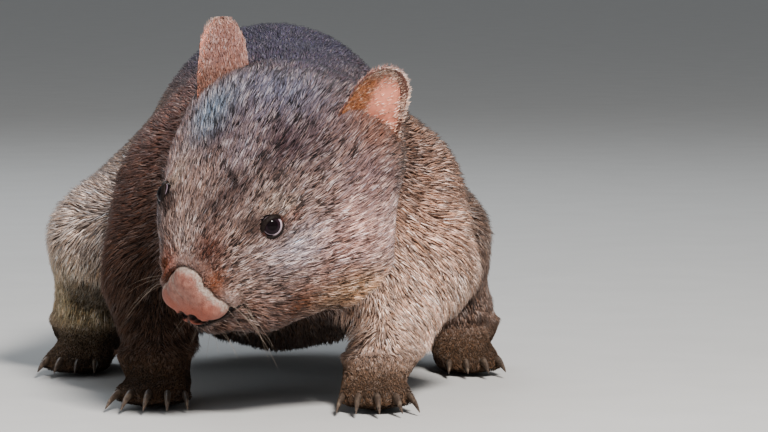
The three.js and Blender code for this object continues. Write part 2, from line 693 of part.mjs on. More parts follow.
const bodyBox = new THREE.Box3(V(-230, -150, -12), V(230, 680, 320));
let body = solidOf(surfaceOf(wholeField, bodyBox, BODY_CELL));
body = body.subtract(solidOf(floorCutter()));
body = clear(body, headCutter);
for (const side of SIDES) {
  body = clear(clear(body, pawCutters[side]), footCutters[side]);
  body = body.subtract(solidOf(grown(earGeometry(side), EAR_SEAM).applyMatrix4(headFrame)));
}
const legSolids = [];
for (const [name, cutter] of legCutters) {
  legSolids.push([name, cut(body, cutter)]);
  body = clear(body, cutter);
}
keep("neck", cut(body, neckCutter), coatMaterial);
body = clear(body, neckCutter);
const rumpCutter = (grow) => block(V(-250, LOIN_Y + 62, -60), V(250, 800, 400), grow);
const tailGeometry = limbCutter(V(-6, RUMP_Y + 104, 112), V(-6, RUMP_Y + 112 + TAIL_LENGTH, 84), 15, 9);
keep("tail", solidOf(tailGeometry), coatMaterial);
keep("hindquarters", cut(body, rumpCutter).subtract(solidOf(grown(tailGeometry, SEAM))), coatMaterial);
keep("torso", clear(body, rumpCutter), coatMaterial);
for (const [name, solid] of legSolids) keep(name, solid, coatMaterial);

// Feet, meshed finely, each with its claws in sockets at the ends of the toes
for (const side of SIDES) {
  for (const [name, stance, cutters, reach, toes, toeReach, clawLength] of [
    ["forepaw", FOREPAW_STANCE, pawCutters, 90, FORE_TOES, FORE_TOE_REACH, CLAW_LENGTH.fore],
    ["hind_foot", HIND_STANCE, footCutters, 104, HIND_TOES, HIND_TOE_REACH, CLAW_LENGTH.hind],
  ]) {
    const frame = footFrame(side, stance);
    const local = placed(wholeField, frame.clone().invert());
    const box = new THREE.Box3(V(-58, -reach, -12), V(58, 92, 58));
    const fine = solidOf(surfaceOf(local, box, FOOT_CELL).applyMatrix4(frame));
    let foot = cut(fine, cutters[side]).subtract(solidOf(floorCutter()));
    toes.forEach((toe, index) => {
      if (name === "hind_foot" && index === 0) return;
      const claw = clawGeometry(clawLength * (0.5 + 0.5 * toe[2]), CLAW_WIDTH * toe[2]);
      claw.rotateZ(turn(signOf(side) * toe[0] * 34));
      const tip = toeTip(toe, toeReach, side);
      claw.translate(tip.x, tip.y - 1, tip.z + 2.5).applyMatrix4(frame);
      foot = foot.subtract(solidOf(grown(claw, SEAM)));
      keep(`claw_${name}_${side}_${index + 1}`, solidOf(claw), clawMaterial);
    });
    keep(`${name}_${side}`, foot, coatMaterial);
  }
}

// The head, meshed finely in its own frame, with sockets for the eyes, lids, ears and nose
const headBox = new THREE.Box3(V(-122, -126, -104), V(126, 126, 100));
const headWhole = solidOf(surfaceOf(placed(wholeField, bodyInHead), headBox, HEAD_CELL));
let head = headWhole.intersect(solidOf(headCutter(0).applyMatrix4(bodyInHead)));
for (const side of SIDES) {
  const s = signOf(side);
  const ear = earGeometry(side);
  head = head.subtract(solidOf(grown(ear, EAR_SEAM)));
  keep(`ear_${side}`, solidOf(ear), earMaterial, headGroup);
  const eyeCentre = EYE_AT.clone().multiply(V(1, s, 1));
  const lids = lidGeometry(side);
  head = head.subtract(solidOf(grown(lids, SEAM)));
  const eyeRadii = V(EYE_RADIUS, EYE_RADIUS, EYE_RADIUS);
  const eyeHollow = solidOf(ball(eyeCentre, eyeRadii, SEAM, EYE_SIDES));
  head = head.subtract(eyeHollow);
  keep(`eyelids_${side}`, solidOf(lids).subtract(eyeHollow), lidMaterial, headGroup);
  keep(`eye_${side}`, solidOf(ball(eyeCentre, eyeRadii, 0, EYE_SIDES)), eyeMaterial, headGroup);
}
const nose = noseGeometry();
head = head.subtract(solidOf(grown(nose, SEAM)));
let noseSolid = solidOf(nose).subtract(solidOf(philtrumCutter()));
for (const nostril of nostrilCutters()) noseSolid = noseSolid.subtract(solidOf(nostril));
for (const lips of mouthCutters()) {
  head = head.subtract(solidOf(lips));
  noseSolid = noseSolid.subtract(solidOf(lips));
}
keep("nose", noseSolid, noseMaterial, headGroup);
keep("lower_jaw", head.intersect(jawSolid(0)), faceMaterial, headGroup);
keep("head", head.subtract(jawSolid(SEAM)), faceMaterial, headGroup);

// The origin is the middle of the wombat's box, on the floor
const middle = new THREE.Box3().setFromObject(wombat, true).getCenter(V(0, 0, 0));
wombat.position.set(-middle.x, -middle.y, 0);

export default wombat;
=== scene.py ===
import logging
import math
from dataclasses import dataclass, field
from enum import Enum

import bpy
import numpy as np
from mathutils import Matrix, Vector
from mathutils.bvhtree import BVHTree
from mathutils.kdtree import KDTree


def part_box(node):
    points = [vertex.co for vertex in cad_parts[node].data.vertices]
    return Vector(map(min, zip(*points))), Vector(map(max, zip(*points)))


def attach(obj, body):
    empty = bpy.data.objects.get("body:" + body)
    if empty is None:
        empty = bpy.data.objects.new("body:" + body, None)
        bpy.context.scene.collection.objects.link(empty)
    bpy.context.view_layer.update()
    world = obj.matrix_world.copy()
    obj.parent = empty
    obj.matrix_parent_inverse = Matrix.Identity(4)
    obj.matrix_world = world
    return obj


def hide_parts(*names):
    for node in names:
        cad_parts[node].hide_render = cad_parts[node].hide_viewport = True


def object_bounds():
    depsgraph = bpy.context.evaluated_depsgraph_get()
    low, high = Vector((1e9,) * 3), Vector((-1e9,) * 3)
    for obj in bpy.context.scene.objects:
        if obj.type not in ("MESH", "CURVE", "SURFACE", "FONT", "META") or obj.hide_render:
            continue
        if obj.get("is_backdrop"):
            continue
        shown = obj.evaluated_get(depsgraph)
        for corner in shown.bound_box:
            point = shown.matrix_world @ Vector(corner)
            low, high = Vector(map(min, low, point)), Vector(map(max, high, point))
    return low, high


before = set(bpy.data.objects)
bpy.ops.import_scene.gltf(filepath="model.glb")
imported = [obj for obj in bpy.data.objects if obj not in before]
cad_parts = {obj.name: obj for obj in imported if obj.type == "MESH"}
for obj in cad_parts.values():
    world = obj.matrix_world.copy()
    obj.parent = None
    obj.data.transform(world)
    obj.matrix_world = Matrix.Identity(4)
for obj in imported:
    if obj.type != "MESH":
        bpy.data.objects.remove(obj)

MM = 0.001
BODY = "root"
SEED = 5
NO_BOX = (np.full(3, -9.0), np.full(3, 9.0))
Source = bpy.types.NodeSocket | float | tuple | np.ndarray
log = logging.getLogger("wombat")


class Side(Enum):
    """The wombat's own left and right, as the sign of y in the head's frame."""

    LEFT = 1
    RIGHT = -1

    @property
    def word(self) -> str:
        """The side as node names spell it."""
        return self.name.lower()


# Small helpers on colours and arrays

def linear(code: str) -> np.ndarray:
    """The linear colour of a web colour such as 8a7060."""
    tones = np.array([int(code[i : i + 2], 16) / 255 for i in (0, 2, 4)])
    return np.where(tones <= 0.04045, tones / 12.92, ((tones + 0.055) / 1.055) ** 2.4)


def smooth(low: float, high: float, value: np.ndarray) -> np.ndarray:
    """0 below low and 1 above high, with soft ends; low may be the larger."""
    share = np.clip((value - low) / (high - low), 0.0, 1.0)
    return share * share * (3 - 2 * share)


def unit(vectors: np.ndarray) -> np.ndarray:
    """Each row at length one."""
    return vectors / np.maximum(np.linalg.norm(vectors, axis=-1, keepdims=True), 1e-9)


def near(points: np.ndarray, at: tuple, reach: tuple) -> np.ndarray:
    """1 at a place, fading to 0 round it.

    Args:
        points: rows of x, y, z.
        at: the place, in the points' own frame.
        reach: how far the patch reaches along x, y and z.

    Returns:
        One share for each point.
    """
    away = (points - np.array(at, float)) / np.array(reach, float)
    return np.exp(-(away**2).sum(1))


def near_pair(points: np.ndarray, at: tuple, reach: tuple) -> np.ndarray:
    """The same patch on both sides of the head."""
    mirrored = points * np.array([1.0, -1.0, 1.0])
    return np.maximum(near(points, at, reach), near(mirrored, at, reach))


def ripple(points: np.ndarray, wavelength: float, turn: float) -> np.ndarray:
    """A slow, smooth wander between -1 and 1.

    Args:
        points: rows of x, y, z.
        wavelength: length of the widest wave, in the points' units.
        turn: shifts the pattern, so that two ripples differ.

    Returns:
        One value for each point.
    """
    total = np.zeros(len(points))
    for step in range(4):
        angle = turn + 2.4 * step
        heading = np.array([math.cos(angle), math.sin(angle), math.cos(1.7 * angle)])
        total += np.sin(points @ heading * 2 * math.pi * (1 + 0.6 * step) / wavelength + 3 * angle)
    return total / 4


# Frames

@dataclass(frozen=True)
class Places:
    """The head's and the body's own frames, found from the left eyeball of the solids."""

    yaw: float = -36.5
    nod: float = 30.5
    tilt: float = -15.0
    eye: tuple = (46.0, 41.0, 22.0)
    head_centre: tuple = (-10.0, 0.0, 153.0)

    def turned(self) -> np.ndarray:
        """The head's axes as columns: to the nose, to its left and up.

        Returns:
            A turning matrix.
        """
        level = Matrix(((0, 1, 0), (-1, 0, 0), (0, 0, 1)))
        yaw = Matrix.Rotation(math.radians(self.yaw), 3, "Z")
        nod = Matrix.Rotation(math.radians(self.nod), 3, "Y")
        tilt = Matrix.Rotation(math.radians(self.tilt), 3, "X")
        return np.array(yaw @ level @ nod @ tilt)

    def origin(self) -> np.ndarray:
        """The head's centre, in metres."""
        low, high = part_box("eye_left")
        return np.array((low + high) / 2) - self.turned() @ np.array(self.eye) * MM

    def to_head(self, points: np.ndarray) -> np.ndarray:
        """Points in metres, as millimetres in the head's frame."""
        return (points - self.origin()) @ self.turned() / MM

    def from_head(self, points: np.ndarray) -> np.ndarray:
        """Millimetres in the head's frame, as points in metres."""
        return np.asarray(points, float) @ self.turned().T * MM + self.origin()

    def aim(self, directions: np.ndarray) -> np.ndarray:
        """Directions in the head's frame, as directions in the world."""
        return np.asarray(directions, float) @ self.turned().T

    def to_body(self, points: np.ndarray) -> np.ndarray:
        """Points in metres, as millimetres in the body's frame, with the floor at zero."""
        return (points - self.origin()) / MM + np.array(self.head_centre)

    def from_body(self, points: np.ndarray) -> np.ndarray:
        """Millimetres in the body's frame, as points in metres."""
        return (np.asarray(points, float) - np.array(self.head_centre)) * MM + self.origin()


PLACES = Places()


# What the coat is like at a place

@dataclass(frozen=True)
class Mark:
    """A patch of colour on the coat, strongest at its place and fading out round it."""

    at: tuple
    reach: tuple
    code: str
    strength: float = 0.85
    paired: bool = False

    def share(self, places: np.ndarray) -> np.ndarray:
        """How much of the colour each place takes.

        Args:
            places: rows of x, y, z in the mark's frame.

        Returns:
            One share for each place.
        """
        if self.paired:
            return self.strength * near_pair(places, self.at, self.reach)
        return self.strength * near(places, self.at, self.reach)


# Marks of the trunk and legs, in the body's frame, with painted sunlight and painted shadow among them
BODY_MARKS = (
    # Painted sunlight: pale patches on the lit left shoulder and left foreleg.
    Mark((124, 116, 122), (60, 78, 75), "e6bca8", 0.9),
    Mark((114, 86, 66), (60, 64, 54), "fbdccb", 0.97),
    Mark((143, 125, 84), (22, 34, 30), "a8968c", 0.6),
    Mark((95, 98, 176), (42, 48, 32), "80665e", 0.7),
    # Painted sunlight: pale patches on the lit right haunch and lower hind leg.
    Mark((-155, 258, 118), (60, 90, 80), "e4d0c6", 0.9),
    Mark((-160, 288, 58), (55, 60, 36), "d2bf9c", 0.9),
    Mark((160, 310, 120), (50, 90, 80), "9c877d", 0.7),
    # Painted shadow of the head on the right flank and the right foreleg.
    Mark((-105, 130, 140), (55, 80, 100), "573a32", 0.85),
    Mark((-94, 90, 70), (50, 60, 70), "3a2a20", 0.8),
    Mark((-80, 120, 205), (45, 60, 40), "94716a", 0.8),
)

# Marks of the head, in the head's frame, from the crown to the chin, with painted sky sheen and painted
# shade among them
HEAD_MARKS = (
    # Dark crown fur with a painted bluish sky sheen.
    Mark((-42, 0, 70), (50, 66, 34), "5f6072", 0.95),
    Mark((-12, 44, 50), (24, 20, 20), "5e4c4c", 0.6, paired=True),
    Mark((4, 26, 54), (28, 22, 22), "35242a", 0.95, paired=True),
    # Painted bluish sky highlight on the right side of the crown.
    Mark((-12, -45, 52), (26, 20, 24), "7b8a9a", 0.8),
    Mark((21, 0, 50), (18, 11, 14), "837880", 0.7),
    Mark((44, 9, 41), (22, 17, 15), "302021", 0.95),
    Mark((67, 2, 32), (20, 14, 12), "322221", 0.93),
    Mark((80, -9, 22), (14, 8, 14), "96847f", 0.75),
    Mark((86, 13, 15), (18, 13, 13), "421d10", 0.95),
    Mark((93, -16, 0), (9, 8, 10), "a4675a", 0.7),
    Mark((-20, 78, 24), (26, 20, 18), "7e696d", 0.75, paired=True),
    Mark((-40, 86, 8), (18, 18, 18), "625052", 0.75, paired=True),
    Mark((6, 78, -10), (42, 26, 28), "c29d96", 0.9, paired=True),
    Mark((-32, 88, -34), (24, 22, 24), "e0c0bb", 0.85, paired=True),
    Mark((46, 56, 2), (22, 16, 15), "ccc0c6", 0.85, paired=True),
    Mark((44, 57, -45), (27, 26, 13), "5a2f16", 0.9, paired=True),
    Mark((8, 74, -55), (27, 22, 16), "dab292", 0.9, paired=True),
    Mark((90, 20, -5), (9, 8, 10), "6e381b", 0.9, paired=True),
    Mark((81, 33, -12), (10, 9, 10), "a68c82", 0.8, paired=True),
    Mark((76, 33, -32), (14, 9, 8), "86665a", 0.8, paired=True),
    # Painted shade under the jaw and on the chin.
    Mark((50, 0, -70), (54, 46, 19), "140c07", 0.96),
    Mark((84, 12, -58), (14, 14, 9), "1a100b", 0.9, paired=True),
    # Painted shade in the gap under the nose pad's wings.
    Mark((86, 18, -38), (9, 10, 5), "0b0605", 0.95, paired=True),
    Mark((82, 20, -50), (10, 9, 6), "7c5a4c", 0.8, paired=True),
    Mark((48, 46, 27), (22, 15, 15), "5c4740", 0.8, paired=True),
    Mark((63, 33, 24), (13, 9, 9), "2b1c18", 0.95, paired=True),
    Mark((50.5, 48, 24), (10, 9, 8.5), "35241f", 0.92, paired=True),
    Mark((48.8, 37.7, 34.5), (6, 5, 4.0), "d9c4b6", 0.8, paired=True),
    Mark((40.1, 42.2, 37.5), (6.5, 6, 4.4), "f2e0d4", 0.95, paired=True),
    Mark((33.5, 50.0, 31.5), (6, 6, 4.4), "e2cfc2", 0.9, paired=True),
    Mark((35, 53, 23), (5, 5, 4.5), "6e4034", 0.9, paired=True),
)


@dataclass(frozen=True)
class Pelt:
    """Depth, lie and markings of the coat, as functions of the place on the wombat."""

    body_depth: float = 7.6
    leg_depth: float = 5.4
    paw_depth: float = 1.9
    head_depth: float = 5.0
    muzzle_depth: float = 2.8
    nose_depth: float = -0.6
    lid_depth: float = 1.2
    lip_depth: float = 1.5
    ear_depth: float = 4.4
    richness: float = 1.22
    mouth_at: tuple = (86.0, 0.0, -46.0)
    mouth_rise: float = 0.675
    mouth_tilt: float = 0.105
    mouth_half: float = 27.0
    mouth_back: float = 66.0
    eye: tuple = (50.0, 46.0, 24.0)
    ear: tuple = (-54.0, 58.0, 40.0)
    muzzle: tuple = (80.0, 0.0, -8.0)
    middle: tuple = (6.0, 0.0, -4.0)
    flow_from: tuple = (124.0, 0.0, -16.0)

    def headness(self, head: np.ndarray) -> np.ndarray:
        """1 on the face and crown, 0 from the neck back."""
        reach = np.linalg.norm(head - np.array(self.middle), axis=1)
        return smooth(-92, -24, head[:, 0]) * smooth(140, 100, reach)

    def over_mouth(self, head: np.ndarray) -> np.ndarray:
        """How far a place is over the line of the mouth, and far away where the mouth has ended.

        Args:
            head: places in the head's frame.

        Returns:
            Heights in millimetres, under zero below the mouth.
        """
        ahead = head[:, 0] - self.mouth_at[0]
        line = self.mouth_at[2] + self.mouth_rise * np.abs(head[:, 1]) - self.mouth_tilt * ahead
        wide = smooth(self.mouth_half, self.mouth_half + 7, np.abs(head[:, 1]))
        ended = wide + smooth(self.mouth_back, self.mouth_back - 8, head[:, 0])
        return head[:, 2] - line + 40 * ended

    def on_paw(self, body: np.ndarray) -> np.ndarray:
        """1 on the paws and feet, 0 over them."""
        return smooth(30, 50, np.abs(body[:, 0]))

    def depth(self, points: np.ndarray) -> np.ndarray:
        """How deep the coat is over the skin.

        Args:
            points: places on the coat, in metres.

        Returns:
            Depths in millimetres.
        """
        head = PLACES.to_head(points)
        body = PLACES.to_body(points)
        depth = np.full(len(points), self.body_depth)
        legs = smooth(125, 70, body[:, 2]) * smooth(50, 80, np.abs(body[:, 0]))
        face = self.headness(head)
        for wanted, share in (
            (self.leg_depth, legs),
            (self.paw_depth, smooth(48, 34, body[:, 2]) * self.on_paw(body)),
            (self.head_depth, face),
            (self.muzzle_depth, np.minimum(near(head, self.muzzle, (40, 34, 34)) * 1.5, 1)),
            (self.nose_depth, smooth(8, 1, Nose().gap(head)) * face),
            (self.lid_depth, np.minimum(near_pair(head, self.eye, (12, 12, 10)) * 1.7, 1)),
            (self.lip_depth, smooth(7, 2, np.abs(self.over_mouth(head))) * face),
            (self.ear_depth, near_pair(head, self.ear, (22, 22, 16))),
        ):
            depth += (wanted - depth) * share
        return depth

    def lie(self, points: np.ndarray, normals: np.ndarray) -> np.ndarray:
        """The way the hairs point, along the skin.

        Args:
            points: roots, in metres.
            normals: the skin's normals there.

        Returns:
            Unit directions square to the normals.
        """
        head = PLACES.to_head(points)
        body = PLACES.to_body(points)
        side = np.clip(body[:, 0] / 120, -1.3, 1.3)
        drop = smooth(250, 90, body[:, 2])
        rump = smooth(420, 520, body[:, 1])
        back = np.stack([0.25 * side, 1 - 0.8 * rump, -0.12 - 0.5 * drop - 0.9 * rump], 1)
        down = np.stack([0.18 * side, np.full(len(points), 0.3), np.full(len(points), -1.0)], 1)
        leg = smooth(135, 85, body[:, 2]) * smooth(45, 75, np.abs(body[:, 0]))
        leg = leg * smooth(-0.85, -0.4, normals[:, 2])
        paw = smooth(44, 26, body[:, 2]) * self.on_paw(body)
        forward = np.array([[0.0, -1.0, -0.2]])
        flow = back * (1 - leg)[:, None] + down * leg[:, None]
        flow = flow * (1 - paw)[:, None] + forward * paw[:, None]
        spread = unit(head - np.array(self.flow_from)) + np.array([-0.35, 0, 0.06])
        on_head = unit(PLACES.aim(spread))
        share = self.headness(head)[:, None]
        flow = unit(flow) * (1 - share) + on_head * share
        flow = flow - normals * (flow * normals).sum(1, keepdims=True)
        flow = unit(flow)
        across = np.cross(normals, flow)
        swing = 0.22 * ripple(body, 90, 0.4) + 0.16 * ripple(body, 28, 1.9)
        return unit(flow + across * swing[:, None])

    def colour(self, points: np.ndarray, normals: np.ndarray) -> tuple[np.ndarray, np.ndarray]:
        """The coat's markings, with painted sunlight, sky sheen and shade among them.

        Args:
            points: places, in metres.
            normals: the skin's normals there.

        Returns:
            Linear colours, and how strongly dark and pale hairs are mixed there.
        """
        head = PLACES.to_head(points)
        body = PLACES.to_body(points)
        face = self.headness(head)
        tone = np.tile(linear("6f5a50"), (len(points), 1))

        def lay(share: np.ndarray, code: str) -> None:
            """Lays a colour over the tone where share is high."""
            mix = np.clip(share, 0, 1)[:, None]
            tone[:] = tone * (1 - mix) + linear(code) * mix

        up = smooth(-0.1, 0.8, normals[:, 2])
        # Dark fur on top of the back, with a painted bluish sky sheen where it faces up.
        lay(0.95 * smooth(195, 252, body[:, 2]) * up, "494458")
        lay(0.75 * smooth(380, 500, body[:, 1]), "4a4546")
        for mark in BODY_MARKS:
            lay(mark.share(body), mark.code)
        # Painted shade on the downward faces of the lower body.
        lay(0.8 * smooth(-0.2, -0.9, normals[:, 2]) * smooth(120, 60, body[:, 2]), "32251d")
        lay(0.75 * smooth(46, 22, body[:, 2]), "54402f")
        lay(face, "8a756f")
        for mark in HEAD_MARKS:
            lay(mark.share(head) * face, mark.code)
        # Dark lip skin along the mouth, with painted shade in its gap.
        lay(smooth(4.6, 2.4, np.abs(self.over_mouth(head))) * face, "0b0605")
        lay(0.8 * near_pair(head, self.ear, (24, 22, 20)), "7c4f3c")
        grizzle = 0.66 + 0.34 * face
        grizzle += (1.2 - grizzle) * face * near(head, (-20, 0, 60), (60, 60, 40))
        grizzle += (0.45 - grizzle) * smooth(8, 2, Nose().gap(head)) * face
        tone *= (1 + 0.10 * ripple(body, 60, 0.7))[:, None]
        grey = tone.mean(1, keepdims=True)
        return np.maximum(grey + (tone - grey) * self.richness, 0.0), grizzle


PELT = Pelt()


# Mesh helpers

def clear_selection() -> None:
    """Nothing selected, so that an operator takes only what is picked next."""
    bpy.ops.object.select_all(action="DESELECT")


def pick(*objects: bpy.types.Object) -> None:
    """Selects these objects alone, the first one active.

    Args:
        objects: what is selected.
    """
    clear_selection()
    for item in objects:
        item.select_set(True)
    bpy.context.view_layer.objects.active = objects[0]


def apply_modifier(item: bpy.types.Object, kind: str, **settings: float | int | str) -> None:
    """Adds a modifier to an object, sets it and applies it.

    Args:
        item: the object.
        kind: the modifier's type.
        settings: its settings by name.
    """
    pick(item)
    made = item.modifiers.new(kind.lower(), kind)
    for name, value in settings.items():
        setattr(made, name, value)
    bpy.ops.object.modifier_apply(modifier=made.name)


def corners_of(item: bpy.types.Object) -> np.ndarray:
    """The object's vertices as rows.

    Args:
        item: the object.

    Returns:
        Rows of x, y, z, in metres.
    """
    places = np.empty(len(item.data.vertices) * 3, np.float32)
    item.data.vertices.foreach_get("co", places)
    return places.reshape(-1, 3).astype(float)


def move_corners(item: bpy.types.Object, places: np.ndarray) -> None:
    """Puts the object's vertices at new places."""
    item.data.vertices.foreach_set("co", np.ascontiguousarray(places, np.float32).ravel())
    item.data.update()


def normals_of(item: bpy.types.Object) -> np.ndarray:
    """The object's vertex normals as rows.

    Args:
        item: the object.

    Returns:
        Rows of length one.
    """
    rows = np.empty(len(item.data.vertices) * 3, np.float32)
    item.data.vertex_normals.foreach_get("vector", rows)
    return rows.reshape(-1, 3).astype(float)


def triangles_of(item: bpy.types.Object) -> np.ndarray:
    """The object's faces as rows of three vertices.

    Args:
        item: the object.

    Returns:
        Rows of vertex numbers.
    """
    item.data.calc_loop_triangles()
    rows = np.empty(len(item.data.loop_triangles) * 3, np.int32)
    item.data.loop_triangles.foreach_get("vertices", rows)
    return rows.reshape(-1, 3)


def mesh_object(name: str, places: np.ndarray, faces: np.ndarray) -> bpy.types.Object:
    """A new object from arrays.

    Args:
        name: the piece's name.
        places: vertices, in metres.
        faces: rows of three vertices.

    Returns:
        The object, linked to the scene.
    """
    mesh = bpy.data.meshes.new(name)
    mesh.vertices.add(len(places))
    mesh.vertices.foreach_set("co", np.ascontiguousarray(places, np.float32).ravel())
    mesh.loops.add(faces.size)
    mesh.loops.foreach_set("vertex_index", np.ascontiguousarray(faces, np.int32).ravel())
    mesh.polygons.add(len(faces))
    mesh.polygons.foreach_set("loop_start", np.arange(0, faces.size, 3, dtype=np.int32))
    mesh.update(calc_edges=True)
    mesh.validate()
    item = bpy.data.objects.new(name, mesh)
    bpy.context.scene.collection.objects.link(item)
    return item


def face_outward(item: bpy.types.Object) -> None:
    """Turns a closed mesh the right way out.

    Args:
        item: the object.
    """
    places = corners_of(item)
    a, b, c = (places[triangles_of(item)[:, k]] for k in range(3))
    if (a * np.cross(b, c)).sum() < 0:
        item.data.flip_normals()


def copy_node(node: str, name: str) -> bpy.types.Object:
    """A merged copy of a solid, free to be reshaped.

    Args:
        node: the solid's name.
        name: the copy's name.

    Returns:
        The copy, linked to the scene.
    """
    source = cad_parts[node]
    item = bpy.data.objects.new(name, source.data.copy())
    bpy.context.scene.collection.objects.link(item)
    pick(item)
    bpy.ops.object.mode_set(mode="EDIT")
    bpy.ops.mesh.select_all(action="SELECT")
    bpy.ops.mesh.remove_doubles(threshold=1e-6)
    bpy.ops.mesh.customdata_custom_splitnormals_clear()
    bpy.ops.object.mode_set(mode="OBJECT")
    return item


def shade(item: bpy.types.Object) -> None:
    """Smooth shading all over."""
    item.data.polygons.foreach_set("use_smooth", np.full(len(item.data.polygons), True))
    item.data.update()


def areas_of(places: np.ndarray, faces: np.ndarray) -> np.ndarray:
    """The faces' areas, in square millimetres."""
    a, b, c = (places[faces[:, k]] for k in range(3))
    return np.linalg.norm(np.cross(b - a, c - a), axis=1) / 2 / MM**2


def blended(values: np.ndarray, share: np.ndarray) -> np.ndarray:
    """One row for each root, from the rows of the three corners round it and its shares of them."""
    return (values * share[:, :, None]).sum(1)


def paint_corners(item: bpy.types.Object, name: str, colours: np.ndarray) -> None:
    """Keeps a colour at each vertex under a name.

    Args:
        item: the object.
        name: the attribute's name.
        colours: rows of linear red, green and blue.
    """
    layer = item.data.attributes.new(name, "FLOAT_COLOR", "POINT")
    rows = np.ones((len(colours), 4), np.float32)
    rows[:, :3] = colours
    layer.data.foreach_set("color", rows.ravel())


def mark_corners(item: bpy.types.Object, name: str, values: np.ndarray) -> None:
    """Keeps a number at each vertex under a name."""
    layer = item.data.attributes.new(name, "FLOAT", "POINT")
    layer.data.foreach_set("value", np.ascontiguousarray(values, np.float32))


def finish_piece(item: bpy.types.Object, material: bpy.types.Material) -> bpy.types.Object:
    """Gives a piece its material and fixes it to the body.

    Args:
        item: the piece.
        material: its finish.

    Returns:
        The piece.
    """
    item.data.materials.clear()
    item.data.materials.append(material)
    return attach(item, BODY)


# Materials

def new_group(name: str, sockets: tuple) -> tuple[bpy.types.NodeTree, bpy.types.Node, bpy.types.Node]:
    """Starts a node group.

    Args:
        name: the group's name.
        sockets: for each socket its name, whether it is an input or an output, and its kind.

    Returns:
        The group, its input node and its output node.
    """
    tree = bpy.data.node_groups.new(name, "ShaderNodeTree")
    for label, way, kind in sockets:
        tree.interface.new_socket(label, in_out=way, socket_type=kind)
    return tree, tree.nodes.new("NodeGroupInput"), tree.nodes.new("NodeGroupOutput")


def grain_group() -> bpy.types.NodeTree:
    """Noise on Object coordinates, the same effect in every finish.

    Returns:
        The shared group, made at its first call.
    """
    if "grain" in bpy.data.node_groups:
        return bpy.data.node_groups["grain"]
    tree, given, result = new_group("grain", (
        ("Scale", "INPUT", "NodeSocketFloat"),
        ("Detail", "INPUT", "NodeSocketFloat"),
        ("Stretch", "INPUT", "NodeSocketVector"),
        ("Fac", "OUTPUT", "NodeSocketFloat"),
    ))
    place = tree.nodes.new("ShaderNodeTexCoord")
    turn = tree.nodes.new("ShaderNodeMapping")
    cloud = tree.nodes.new("ShaderNodeTexNoise")
    tree.links.new(place.outputs["Object"], turn.inputs["Vector"])
    tree.links.new(given.outputs["Stretch"], turn.inputs["Scale"])
    tree.links.new(turn.outputs["Vector"], cloud.inputs["Vector"])
    tree.links.new(given.outputs["Scale"], cloud.inputs["Scale"])
    tree.links.new(given.outputs["Detail"], cloud.inputs["Detail"])
    tree.links.new(cloud.outputs["Fac"], result.inputs["Fac"])
    return tree


def shade_group() -> bpy.types.NodeTree:
    """A colour times a level, for flecks in hair and painted shade in the creases of bare skin.

    Returns:
        The shared group, made at its first call.
    """
    if "shade" in bpy.data.node_groups:
        return bpy.data.node_groups["shade"]
    tree, given, result = new_group("shade", (
        ("Color", "INPUT", "NodeSocketColor"),
        ("Level", "INPUT", "NodeSocketFloat"),
        ("Color", "OUTPUT", "NodeSocketColor"),
    ))
    grey = tree.nodes.new("ShaderNodeCombineColor")
    for channel in ("Red", "Green", "Blue"):
        tree.links.new(given.outputs["Level"], grey.inputs[channel])
    product = tree.nodes.new("ShaderNodeMix")
    product.data_type = "RGBA"
    product.blend_type = "MULTIPLY"
    product.inputs[0].default_value = 1.0
    tree.links.new(given.outputs["Color"], product.inputs[6])
    tree.links.new(grey.outputs["Color"], product.inputs[7])
    tree.links.new(product.outputs[2], result.inputs["Color"])
    return tree


